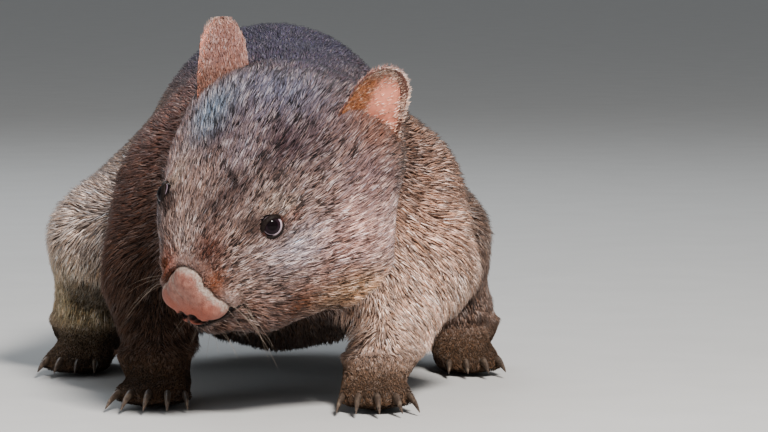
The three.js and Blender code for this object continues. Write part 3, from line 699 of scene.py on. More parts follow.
class Shader:
    """A material's node tree, with short ways to add and join nodes."""

    def __init__(self, name: str, roughness: float, **plain: float) -> None:
        """Starts a material.

        Args:
            name: the material's name.
            roughness: the base roughness.
            plain: other Principled inputs by name, with underscores for spaces.
        """
        self.material = bpy.data.materials.new(name)
        self.material.use_nodes = True
        self.tree = self.material.node_tree
        self.base = self.tree.nodes["Principled BSDF"]
        self.base.inputs["Roughness"].default_value = roughness
        for key, value in plain.items():
            self.base.inputs[key.replace("_", " ")].default_value = value

    def node(self, kind: str, **settings: object) -> bpy.types.Node:
        """A new node of a kind, with its settings.

        Args:
            kind: the node's type.
            settings: its settings by name.

        Returns:
            The node.
        """
        made = self.tree.nodes.new(kind)
        for key, value in settings.items():
            setattr(made, key, value)
        return made

    def join(self, source: bpy.types.NodeSocket, target: bpy.types.NodeSocket) -> None:
        """Links an output to an input."""
        self.tree.links.new(source, target)

    def attribute(self, name: str) -> bpy.types.Node:
        """Reads a value that the mesh keeps."""
        return self.node("ShaderNodeAttribute", attribute_name=name)

    def group(self, made: bpy.types.NodeTree, **values: float | tuple) -> bpy.types.Node:
        """Places a shared effect, with this finish's own values by input name.

        Args:
            made: the effect.
            values: its input values by name.

        Returns:
            The placed effect.
        """
        placed = self.node("ShaderNodeGroup", node_tree=made)
        for name, value in values.items():
            placed.inputs[name].default_value = value
        return placed

    def noise(self, scale: float, detail: float = 3.0, stretch: tuple = (1, 1, 1)) -> bpy.types.Node:
        """Noise on Object coordinates.

        Args:
            scale: cells to a metre.
            detail: octaves.
            stretch: scale along x, y and z.

        Returns:
            The placed grain.
        """
        return self.group(grain_group(), Scale=scale, Detail=detail, Stretch=stretch)

    def shaded(self, colour: bpy.types.NodeSocket, share: bpy.types.NodeSocket) -> bpy.types.NodeSocket:
        """A colour output, made darker or lighter by a value output.

        Args:
            colour: the colour output.
            share: the level output.

        Returns:
            The shaded colour output.
        """
        placed = self.group(shade_group())
        self.join(colour, placed.inputs["Color"])
        self.join(share, placed.inputs["Level"])
        return placed.outputs["Color"]

    def span(self, source: bpy.types.NodeSocket, low: float, high: float, start: float = 0.3,
             end: float = 0.7) -> bpy.types.NodeSocket:
        """Spreads a value between two numbers.

        Args:
            source: the output to read.
            low: result where the value is at start.
            high: result where it is at end.
            start: the value's lower end.
            end: the value's upper end.

        Returns:
            The spread output.
        """
        made = self.node("ShaderNodeMapRange")
        for key, value in (("From Min", start), ("From Max", end), ("To Min", low), ("To Max", high)):
            made.inputs[key].default_value = value
        self.join(source, made.inputs["Value"])
        return made.outputs["Result"]

    def mix(self, share: Source, first: Source, second: Source) -> bpy.types.NodeSocket:
        """Mixes two colours.

        Args:
            share: a number or an output.
            first: a colour or an output.
            second: a colour or an output.

        Returns:
            The mixed colour output.
        """
        made = self.node("ShaderNodeMix", data_type="RGBA")
        for socket, value in ((made.inputs[0], share), (made.inputs[6], first), (made.inputs[7], second)):
            if isinstance(value, bpy.types.NodeSocket):
                self.join(value, socket)
            elif isinstance(value, (int, float)):
                socket.default_value = value
            else:
                socket.default_value = (*value, 1.0)
        return made.outputs[2]

    def colour(self, source: bpy.types.NodeSocket) -> None:
        """Sends a colour to the surface."""
        self.join(source, self.base.inputs["Base Color"])

    def rough(self, source: bpy.types.NodeSocket) -> None:
        """Sends a value to the roughness."""
        self.join(source, self.base.inputs["Roughness"])

    def bump(self, source: bpy.types.NodeSocket, strength: float, distance: float) -> None:
        """Raises the surface by a value.

        Args:
            source: the height.
            strength: the bump's strength.
            distance: the height of a full step, in metres.
        """
        made = self.node("ShaderNodeBump")
        made.inputs["Strength"].default_value = strength
        made.inputs["Distance"].default_value = distance
        self.join(source, made.inputs["Height"])
        self.join(made.outputs["Normal"], self.base.inputs["Normal"])


@dataclass(frozen=True)
class CoatFinish:
    """Fine dull hair that takes its colour from the coat's markings."""

    roughness: float = 0.6
    sheen: float = 0.04
    sheen_spread: float = 0.4
    gloss: float = 0.12
    fleck: float = 700.0

    def make(self) -> bpy.types.Material:
        """The material of the tufts.

        Returns:
            The material.
        """
        shader = Shader("coat_hair", self.roughness, Sheen_Weight=self.sheen,
                        Sheen_Roughness=self.sheen_spread, Specular_IOR_Level=self.gloss)
        fleck = shader.noise(self.fleck, 2.0)
        tint = shader.span(fleck.outputs["Fac"], 0.75, 1.2)
        shader.colour(shader.shaded(shader.attribute("coat").outputs["Color"], tint))
        shader.rough(shader.span(fleck.outputs["Fac"], self.roughness - 0.08, self.roughness + 0.12))
        return shader.material


@dataclass(frozen=True)
class SkinFinish:
    """The skin between the tufts, in the coat's own colours darkened as painted shade, with a nap of fine
    hair flecked with painted shadow.
    """

    roughness: float = 0.75
    gloss: float = 0.25
    nap: float = 900.0
    shadow: tuple = (0.02, 0.014, 0.011)

    def make(self) -> bpy.types.Material:
        """The material of the skin.

        Returns:
            The material.
        """
        shader = Shader("skin_nap", self.roughness, Specular_IOR_Level=self.gloss)
        nap = shader.noise(self.nap, 4.0)
        coat = shader.attribute("coat").outputs["Color"]
        # Painted shadow flecks in the nap.
        shader.colour(shader.mix(shader.span(nap.outputs["Fac"], 0.0, 0.6), coat, self.shadow))
        shader.rough(shader.span(nap.outputs["Fac"], 0.65, 0.85))
        shader.bump(nap.outputs["Fac"], 0.5, 0.0006)
        return shader.material


@dataclass(frozen=True)
class NoseFinish:
    """Bare, finely cobbled skin: pink in the middle, red below, with a pale crusted rim and painted shade in
    the nostrils, the groove and underneath.
    """

    cobble: float = 800.0
    roughness: float = 0.46
    gloss: float = 0.3
    pinks: tuple = ("7c493e", "ae7869")
    red: str = "9c4c36"
    crusts: tuple = ("85695c", "beb3a8")
    # Colour of the painted shade in the nostrils and under the pad.
    inside: tuple = (0.012, 0.006, 0.005)

    def make(self) -> bpy.types.Material:
        """The material of the nose.

        Returns:
            The material.
        """
        shader = Shader("nose_leather", self.roughness, Specular_IOR_Level=self.gloss)
        place = shader.node("ShaderNodeTexCoord")
        cells = shader.node("ShaderNodeTexVoronoi", feature="DISTANCE_TO_EDGE")
        cells.inputs["Scale"].default_value = self.cobble
        shader.join(place.outputs["Object"], cells.inputs["Vector"])
        mottle = shader.noise(260.0, 5.0).outputs["Fac"]
        flakes = shader.noise(620.0, 3.0).outputs["Fac"]
        pink = shader.mix(shader.span(mottle, 0, 1), *(linear(code) for code in self.pinks))
        reddened = shader.mix(shader.attribute("red").outputs["Fac"], pink, linear(self.red))
        crust = shader.mix(shader.span(flakes, 0, 1), *(linear(code) for code in self.crusts))
        rimmed = shader.mix(shader.attribute("rim").outputs["Fac"], reddened, crust)
        # Painted shade in the nostrils, the groove and under the pad.
        dark = shader.mix(shader.attribute("hollow").outputs["Fac"], rimmed, self.inside)
        # Painted shade along the creases between the cobbles.
        shader.colour(shader.shaded(dark, shader.span(cells.outputs["Distance"], 0.72, 1.0, 0.0, 0.12)))
        shader.rough(shader.span(mottle, self.roughness - 0.08, self.roughness + 0.1))
        raised = shader.mix(0.5, shader.span(cells.outputs["Distance"], 0.0, 1.0, 0.0, 0.25), mottle)
        shader.bump(raised, 0.6, 0.0009)
        return shader.material


@dataclass(frozen=True)
class EyeFinish:
    """A wet dark eye: black pupil, brown iris and a lilac-white corner."""

    stops: tuple = (
        (0.54, "d3b9bb"),
        (0.69, "c9b3c4"),
        (0.72, "3c2a2e"),
        (0.75, "150e14"),
        (0.88, "21151c"),
        (0.93, "060408"),
    )
    roughness: float = 0.08
    gloss: float = 0.07
    white: str = "b0807a"
    pupil: tuple = (0.002, 0.0015, 0.002)
    hidden: tuple = (0.004, 0.003, 0.003)
    vein: tuple = (0.02, 0.012, 0.012)

    def make(self) -> bpy.types.Material:
        """The material of the eyeballs.

        Returns:
            The material.
        """
        shader = Shader("eye_wet", self.roughness, Specular_IOR_Level=self.gloss)
        ramp = shader.node("ShaderNodeValToRGB")
        elements = ramp.color_ramp.elements
        elements[0].position, elements[0].color = 0.0, (*linear(self.white), 1)
        elements[1].position, elements[1].color = 1.0, (*self.pupil, 1)
        for position, code in self.stops:
            made = elements.new(position)
            made.color = (*linear(code), 1)
        shader.join(shader.attribute("gaze").outputs["Fac"], ramp.inputs["Fac"])
        seen = shader.mix(shader.attribute("open").outputs["Fac"], self.hidden, ramp.outputs["Color"])
        streaks = shader.noise(2600.0, 2.0)
        streak = shader.span(streaks.outputs["Fac"], 0.0, 0.25)
        shader.colour(shader.mix(streak, seen, self.vein))
        return shader.material


@dataclass(frozen=True)
class LidFinish:
    """Dark wrinkled skin round the eye."""

    roughness: float = 0.6
    gloss: float = 0.1
    wrinkles: float = 1500.0
    tones: tuple = ("100b0a", "201714")
    corner: str = "4a2c26"

    def make(self) -> bpy.types.Material:
        """The material of the lids.

        Returns:
            The material.
        """
        shader = Shader("lid_skin", self.roughness, Specular_IOR_Level=self.gloss)
        wrinkle = shader.noise(self.wrinkles, 4.0, (1, 1, 3)).outputs["Fac"]
        base = shader.mix(shader.span(wrinkle, 0, 1), *(linear(code) for code in self.tones))
        shader.colour(shader.mix(shader.attribute("corner").outputs["Fac"], base, linear(self.corner)))
        shader.rough(shader.span(wrinkle, 0.35, self.roughness))
        shader.bump(wrinkle, 0.5, 0.0004)
        return shader.material


@dataclass(frozen=True)
class HornFinish:
    """Worn horn with grain along the claw and paler, scuffed spots."""

    roughness: float = 0.4
    gloss: float = 0.5
    tones: tuple = ("2c2420", "5a4c41")
    scuffed: str = "7d6d5d"

    def make(self) -> bpy.types.Material:
        """The material of the claws.

        Returns:
            The material.
        """
        shader = Shader("claw_horn", self.roughness, Specular_IOR_Level=self.gloss)
        grain = shader.noise(900.0, 4.0, (1, 0.12, 1)).outputs["Fac"]
        wear = shader.noise(220.0, 3.0).outputs["Fac"]
        horn = shader.mix(shader.span(grain, 0, 1), *(linear(code) for code in self.tones))
        shader.colour(shader.mix(shader.span(wear, 0, 0.7, 0.5, 0.75), horn, linear(self.scuffed)))
        shader.rough(shader.span(wear, 0.3, 0.6))
        shader.bump(grain, 0.4, 0.0003)
        return shader.material


@dataclass(frozen=True)
class WhiskerFinish:
    """Stiff hair, pale and dark along its length."""

    roughness: float = 0.35
    gloss: float = 0.5
    tones: tuple = ("a89888", "5e4e42")

    def make(self) -> bpy.types.Material:
        """The material of the whiskers.

        Returns:
            The material.
        """
        shader = Shader("whisker_hair", self.roughness, Specular_IOR_Level=self.gloss)
        tone = shader.noise(90.0, 2.0).outputs["Fac"]
        shader.colour(shader.mix(shader.span(tone, 0, 1), *(linear(code) for code in self.tones)))
        return shader.material


@dataclass(frozen=True)
class EarFinish:
    """Thin bare skin, flushed where it is veined."""

    roughness: float = 0.55
    sheen: float = 0.2
    flush: str = "a4543f"

    def make(self, side: Side) -> bpy.types.Material:
        """The material of one ear.

        Args:
            side: the ear's side.

        Returns:
            The material.
        """
        shader = Shader(f"ear_skin_{side.word}", self.roughness, Sheen_Weight=self.sheen)
        veins = shader.noise(120.0, 4.0).outputs["Fac"]
        bare = shader.attribute("coat").outputs["Color"]
        shader.colour(shader.mix(shader.span(veins, 0, 0.3), bare, linear(self.flush)))
        shader.bump(veins, 0.3, 0.0008)
        return shader.material


@dataclass(frozen=True)
class FloorFinish:
    """A pale, dull floor."""

    roughness: float = 0.85
    tones: tuple = ((0.60, 0.60, 0.59), (0.63, 0.63, 0.62))

    def make(self) -> bpy.types.Material:
        """The material of the floor.

        Returns:
            The material.
        """
        shader = Shader("floor_pale", self.roughness)
        shader.colour(shader.mix(shader.span(shader.noise(14.0, 3.0).outputs["Fac"], 0, 1), *self.tones))
        return shader.material


# Tufts

@dataclass
class Tufts:
    """Many small tapered tufts, gathered as arrays and made one mesh."""

    name: str
    roots: np.ndarray
    normals: np.ndarray
    lie: np.ndarray
    length: np.ndarray
    width: np.ndarray
    height: np.ndarray
    colour: np.ndarray
    grizzle: np.ndarray
    chart: np.ndarray
    rng: np.random.Generator
    box: tuple = NO_BOX
    clump: float = 0.3
    lock: int = 9
    shared: float = 0.5
    patch: float = 0.003
    widest: float = 0.36

    def leaders(self) -> np.ndarray:
        """For each tuft, the tuft that leads its lock.

        Returns:
            Tuft numbers, one for each tuft.
        """
        chosen = self.rng.permutation(len(self.roots))[: max(len(self.roots) // self.lock, 1)]
        tree = KDTree(len(chosen))
        for number, index in enumerate(chosen):
            tree.insert(self.roots[index], number)
        tree.balance()
        return chosen[np.array([tree.find(place)[1] for place in self.roots])]

    def drawn_together(self, tips: np.ndarray, leaders: np.ndarray) -> np.ndarray:
        """Leans the tips of a lock towards its leader's.

        Args:
            tips: the tufts' tips.
            leaders: each tuft's leader.

        Returns:
            The tips, moved.
        """
        gap = tips[leaders] - tips
        reach = np.linalg.norm(gap, axis=1, keepdims=True)
        share = self.clump * np.clip(1.6 - reach / (self.length[:, None] * MM), 0, 1)
        return tips + gap * share

    def tints(self, leaders: np.ndarray) -> tuple[np.ndarray, np.ndarray]:
        """The tufts' colours in the middle and at the tip: some dark, most plain, some pale.

        Args:
            leaders: each tuft's leader, whose tint part of the lock shares.

        Returns:
            Two rows of linear colours.
        """
        draw = self.rng.random(len(self.roots))
        draw = np.where(self.rng.random(len(draw)) < self.shared, draw[leaders], draw)
        dark = smooth(0.38, 0.14, draw)
        pale = smooth(0.70, 0.95, draw)
        level = 1 - 0.8 * np.minimum(self.grizzle, 1.1) * dark + 1.35 * self.grizzle * pale
        level = level * self.rng.uniform(0.86, 1.14, len(draw))
        greyed = self.colour.mean(1, keepdims=True) * np.array([[1.06, 1.0, 0.95]])
        hue = self.colour * (1 - 0.45 * pale[:, None]) + greyed * 0.45 * pale[:, None]
        hue = hue * (1 + self.rng.normal(0, 0.07, (len(draw), 1)) * np.array([[1.0, 0.0, -1.0]]))
        middle = hue * level[:, None]
        tip = middle * (1.0 + 0.35 * self.rng.random((len(draw), 1)))
        return middle, tip

    def build(self) -> bpy.types.Object:
        """The tufts as one mesh, with their colours and their chart.

        Returns:
            The mesh object, which keeps the colours under the name coat.
        """
        count = len(self.roots)
        across = np.cross(self.normals, self.lie)
        wander = self.rng.normal(0, 0.16, (count, 1))
        lie = unit(self.lie + across * wander)
        across = np.cross(self.normals, lie)
        length = (self.length * self.rng.uniform(0.72, 1.15, count))[:, None] * MM
        rise = (self.height * self.rng.uniform(0.45, 1.0, count))[:, None] * MM
        run = np.sqrt(np.maximum(length**2 - rise**2, (0.3 * length) ** 2))
        root = self.roots - self.normals * (0.35 * rise + 0.0003)
        middle = self.roots + lie * run * self.widest + self.normals * rise * 0.62
        leaders = self.leaders()
        tip = self.drawn_together(self.roots + lie * run + self.normals * rise * 0.95, leaders)
        half = (self.width * self.rng.uniform(0.8, 1.2, count))[:, None] * MM / 2
        ring = [middle + across * half, middle + self.normals * half * 0.7, middle - across * half]
        places = np.clip(np.stack([root, *ring, tip], 1).reshape(-1, 3), *self.box)
        pattern = np.array([[0, 2, 1], [0, 3, 2], [0, 1, 3], [1, 2, 4], [2, 3, 4], [3, 1, 4]])
        faces = (np.arange(count)[:, None, None] * 5 + pattern[None]).reshape(-1, 3)
        item = mesh_object(self.name, places, faces)
        middle_tint, tip_tint = self.tints(leaders)
        # Roots at 0.28 of the tuft's colour: painted shade deep in the coat.
        colours = np.stack([self.colour * 0.28, middle_tint, middle_tint, middle_tint, tip_tint], 1)
        paint_corners(item, "coat", colours.reshape(-1, 3))
        self.lay_chart(item, faces)
        shade(item)
        return item

    def lay_chart(self, item: bpy.types.Object, faces: np.ndarray) -> None:
        """Gives each tuft a small patch of the map at its root's place on the unwrapped skin.

        Args:
            item: the tufts' mesh object.
            faces: rows of three vertices.
        """
        steps = np.array([[0, -0.5], [0.5, -0.1], [0, -0.1], [-0.5, -0.1], [0, 0.5]]) * self.patch
        corners = (self.chart[:, None, :] + steps[None]).reshape(-1, 2)
        layer = item.data.uv_layers.new(name="OFBake")
        layer.data.foreach_set("uv", corners[faces.ravel()].astype(np.float32).ravel())


def charted_roots(places: np.ndarray, faces: np.ndarray, density: np.ndarray,
                  rng: np.random.Generator) -> tuple[np.ndarray, np.ndarray, np.ndarray]:
    """Spreads roots over part of the skin and finds each one's place on an unwrap of it.

    Args:
        places: vertices, in metres.
        faces: rows of three vertices.
        density: roots to a square millimetre, at each vertex.
        rng: the random source.

    Returns:
        The face of each root, its shares of the face's corners, and its place on the unwrap.
    """
    used, packed = np.unique(faces, return_inverse=True)
    part = mesh_object("chart", places[used], packed.reshape(-1, 3))
    pick(part)
    bpy.ops.object.mode_set(mode="EDIT")
    bpy.ops.mesh.select_all(action="SELECT")
    bpy.ops.uv.smart_project(angle_limit=math.radians(70), island_margin=0.002)
    bpy.ops.object.mode_set(mode="OBJECT")
    chart = np.empty(len(part.data.loops) * 2, np.float32)
    part.data.uv_layers.active.data.foreach_get("uv", chart)
    chart = chart.reshape(-1, 3, 2).astype(float)
    order = np.empty(len(part.data.loops), np.int32)
    part.data.loops.foreach_get("vertex_index", order)
    faces = used[order.reshape(-1, 3)]
    bpy.data.objects.remove(part)
    wanted = np.cumsum(areas_of(places, faces) * density[faces].mean(1))
    count = int(wanted[-1])
    mark = (np.arange(count) + rng.random(count)) / count * wanted[-1]
    face = np.minimum(np.searchsorted(wanted, mark), len(faces) - 1)
    first, second = np.sqrt(rng.random(count)), rng.random(count)
    share = np.stack([1 - first, first * (1 - second), first * second], 1)
    return faces[face], share, blended(chart[face], share)


# Skin and coat

@dataclass
class Skin:
    """One closed skin that stands for the flesh of the solids, lying under them by the coat's depth."""

    voxel: float = 2.3
    swell: float = 0.5
    plug_swell: float = -3.2
    nose_sink: float = 6.0
    limit: int = 190000
    ear_line: tuple = ((-54.0, 56.0, 36.0), (-80.0, 71.0, 84.0))
    ear_stump: float = 6.0
    # Painted shade: the skin's share of the coat's colours beneath the tufts.
    under: float = 0.42
    broad_rounds: int = 100
    plain_rounds: int = 12
    fine_rounds: int = 4
    flesh: tuple = ("head", "lower_jaw", "neck", "torso", "hindquarters", "tail")
    limbs: tuple = ("upper_foreleg", "foreleg", "thigh", "shin", "forepaw", "hind_foot")
    plugs: tuple = ("nose", "eye_left", "eye_right", "eyelids_left", "eyelids_right")
    item: bpy.types.Object = field(default=None)

    def flesh_nodes(self) -> list[str]:
        """The solids that the skin replaces."""
        return [*self.flesh, *(f"{limb}_{side.word}" for limb in self.limbs for side in Side)]

    def ear_root(self, side: Side) -> bpy.types.Object:
        """The lowest part of an ear, to fill its socket in the head.

        Args:
            side: the ear's side.

        Returns:
            The lowest part, closed at its cut.
        """
        ear = copy_node(f"ear_{side.word}", "ear_root")
        root, tip = (PLACES.from_head([np.array(place) * [1, side.value, 1]])[0] for place in self.ear_line)
        up = unit(tip - root)
        pick(ear)
        bpy.ops.object.mode_set(mode="EDIT")
        bpy.ops.mesh.select_all(action="SELECT")
        cut = root + up * self.ear_stump * MM
        bpy.ops.mesh.bisect(plane_co=cut, plane_no=up, use_fill=True, clear_outer=True)
        bpy.ops.object.mode_set(mode="OBJECT")
        return ear

    def build(self) -> bpy.types.Object:
        """Joins, remeshes, softens and sinks the flesh.

        Returns:
            The skin.
        """
        flesh = [copy_node(node, "flesh") for node in self.flesh_nodes()]
        flesh += [self.ear_root(side) for side in Side]
        plugs = [copy_node(node, "plug") for node in self.plugs]
        parts = flesh + plugs
        for part in parts:
            swell = self.plug_swell if part in plugs else self.swell
            move_corners(part, corners_of(part) + normals_of(part) * swell * MM)
        self.sink_front(plugs[0])
        pick(*parts)
        bpy.ops.object.join()
        skin = bpy.context.view_layer.objects.active
        skin.name = skin.data.name = "skin"
        apply_modifier(skin, "REMESH", mode="VOXEL", voxel_size=self.voxel * MM)
        self.soften(skin)
        places = corners_of(skin)
        depth = PELT.depth(places) + self.swell
        move_corners(skin, places - normals_of(skin) * depth[:, None] * MM)
        apply_modifier(skin, "SMOOTH", factor=0.5, iterations=3)
        self.open_eyes(skin)
        shade(skin)
        self.item = skin
        return skin

    def sink_front(self, plug: bpy.types.Object) -> None:
        """Pushes the front of the nose's plug back, well under the pad.

        Args:
            plug: the copy of the nose's solid.
        """
        places = PLACES.to_head(corners_of(plug))
        places[:, 0] -= self.nose_sink * smooth(84, 95, places[:, 0])
        move_corners(plug, PLACES.from_head(places))

    def soften(self, skin: bpy.types.Object) -> None:
        """Smooths the body broadly and the face and feet lightly.

        Args:
            skin: the remeshed flesh.
        """
        places = corners_of(skin)
        head = PLACES.to_head(places)
        body = PLACES.to_body(places)
        face = PELT.headness(head) * smooth(-46, -8, head[:, 0])
        fine = np.maximum(face, smooth(64, 44, body[:, 2]) * PELT.on_paw(body))
        lips = smooth(12, 5, np.abs(PELT.over_mouth(head)))
        detail = np.minimum(smooth(20, 8, Nose().gap(head)) + lips, 1) * face
        for name, weights in (("broad", 1 - fine), ("plain", 1 - detail)):
            group = skin.vertex_groups.new(name=name)
            for index, weight in enumerate(weights):
                group.add([index], float(weight), "REPLACE")
        apply_modifier(skin, "SMOOTH", factor=0.5, iterations=self.broad_rounds, vertex_group="broad")
        apply_modifier(skin, "SMOOTH", factor=0.5, iterations=self.plain_rounds, vertex_group="plain")
        apply_modifier(skin, "SMOOTH", factor=0.5, iterations=self.fine_rounds)
        share = self.limit / len(triangles_of(skin))
        if share < 1:
            apply_modifier(skin, "DECIMATE", ratio=share, vertex_group="broad", vertex_group_factor=4.0)
        skin.vertex_groups.clear()

    def open_eyes(self, skin: bpy.types.Object) -> None:
        """Sinks the skin behind each eyeball, so that the ball shows between its lids.

        Args:
            skin: the skin, sunk by the coat's depth.
        """
        places = corners_of(skin)
        for side in Side:
            eye = Eye(side)
            along, high, out = eye.axes()
            away = (places - eye.centre()) / MM
            reach = np.hypot(away @ along / eye.opening[0], away @ high / eye.opening[1])
            front = away @ out
            share = smooth(1.08, 0.9, reach) * (front > -4)
            drop = np.maximum(front - 2.0, 0) * share
            places -= out * drop[:, None] * MM
        move_corners(skin, places)

    def dress(self) -> None:
        """Paints the markings, darkened as painted shade beneath the coat, and fixes the skin in place of
        the flesh.
        """
        tone, _ = PELT.colour(corners_of(self.item), normals_of(self.item))
        # The skin's colour is the coat's darkened: painted shade beneath the coat.
        paint_corners(self.item, "coat", tone * self.under)
        finish_piece(self.item, SkinFinish().make())
        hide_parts(*self.flesh_nodes())


@dataclass
class Coat:
    """The tufts over the skin, in pieces small enough to keep whole."""

    skin: Skin
    total: int = 245000
    piece_limit: int = 31000
    cover: float = 3.4
    face_cover: float = 4.8
    thinnest: float = 0.9
    box: tuple = NO_BOX
    items: list = field(default_factory=list)

    def thickness(self, depth: np.ndarray) -> tuple[np.ndarray, np.ndarray]:
        """Length and width of the tufts for a depth of coat, in millimetres."""
        return 1.4 + 1.95 * depth, 0.42 + 0.07 * depth

    def density(self, places: np.ndarray) -> np.ndarray:
        """Tufts to a square millimetre at each vertex of the skin.

        Args:
            places: the skin's vertices, in metres.

        Returns:
            One density for each vertex.
        """
        length, width = self.thickness(np.maximum(PELT.depth(places), self.thinnest))
        head = PLACES.to_head(places)
        body = PLACES.to_body(places)
        cover = self.cover + (self.face_cover - self.cover) * PELT.headness(head)
        dense = cover / (length * width * 0.6)
        under = smooth(34, 12, body[:, 2]) * (1 - PELT.headness(head))
        dense *= 1 - 0.6 * under
        dense *= smooth(-0.8, 0.6, Nose().gap(head))
        dense *= smooth(1.8, 3.2, np.abs(PELT.over_mouth(head)))
        for side in Side:
            eye = Eye(side)
            away = np.linalg.norm((places - eye.centre()) / MM - eye.axes()[2] * (eye.radius - 1), axis=1)
            dense *= smooth(5.4, 7.4, away)
        return dense

    def parts(self, centres: np.ndarray, weight: np.ndarray) -> list[np.ndarray]:
        """Splits faces into compact parts of no more than the limit.

        Args:
            centres: the faces' middles.
            weight: tufts wanted on each face.

        Returns:
            Rows of face numbers, one for each part.
        """
        waiting = [np.arange(len(centres))]
        done = []
        while waiting:
            part = waiting.pop()
            if weight[part].sum() <= self.piece_limit:
                done.append(part)
                continue
            spread = centres[part].max(0) - centres[part].min(0)
            order = part[np.argsort(centres[part][:, spread.argmax()])]
            half = np.searchsorted(np.cumsum(weight[order]), weight[part].sum() / 2)
            waiting += [order[:half], order[half:]]
        return done

    def build(self) -> None:
        """Grows the coat piece by piece."""
        places = corners_of(self.skin.item)
        normals = normals_of(self.skin.item)
        faces = triangles_of(self.skin.item)
        dense = self.density(places)
        centres = (places[faces[:, 0]] + places[faces[:, 1]] + places[faces[:, 2]]) / 3
        wanted = areas_of(places, faces) * dense[faces].mean(1)
        scale = min(1.0, self.total / wanted.sum())
        log.info("the coat wants %d tufts and gets %.2f of them", wanted.sum(), scale)
        rng = np.random.default_rng(SEED)
        for number, part in enumerate(self.parts(centres, wanted * scale), 1):
            corners, share, spot = charted_roots(places, faces[part], dense * scale, rng)
            self.items.append(self.piece(f"coat_{number}", places, normals, corners, share, spot, rng))
            log.info("coat_%d: %d tufts", number, len(spot))

    def piece(self, name: str, places: np.ndarray, normals: np.ndarray, corners: np.ndarray,
              share: np.ndarray, spot: np.ndarray, rng: np.random.Generator) -> bpy.types.Object:
        """One piece of the coat.

        Args:
            name: the piece's name.
            places: the skin's vertices.
            normals: their normals.
            corners: the three vertices round each root.
            share: each root's shares of them.
            spot: each root's place on the unwrap.
            rng: the random source.

        Returns:
            The piece.
        """
        roots = blended(places[corners], share)
        upright = unit(blended(normals[corners], share))
        depth = np.maximum(PELT.depth(roots), self.thinnest)
        length, width = self.thickness(depth)
        colour, grizzle = PELT.colour(roots, upright)
        tufts = Tufts(name, roots, upright, PELT.lie(roots, upright), length, width, depth * 0.95,
                      colour, grizzle, spot, rng, self.box)
        return tufts.build()

    def dress(self) -> None:
        """Gives every piece the coat's finish."""
        finish = CoatFinish().make()
        for item in self.items:
            finish_piece(item, finish)


# The head's own pieces

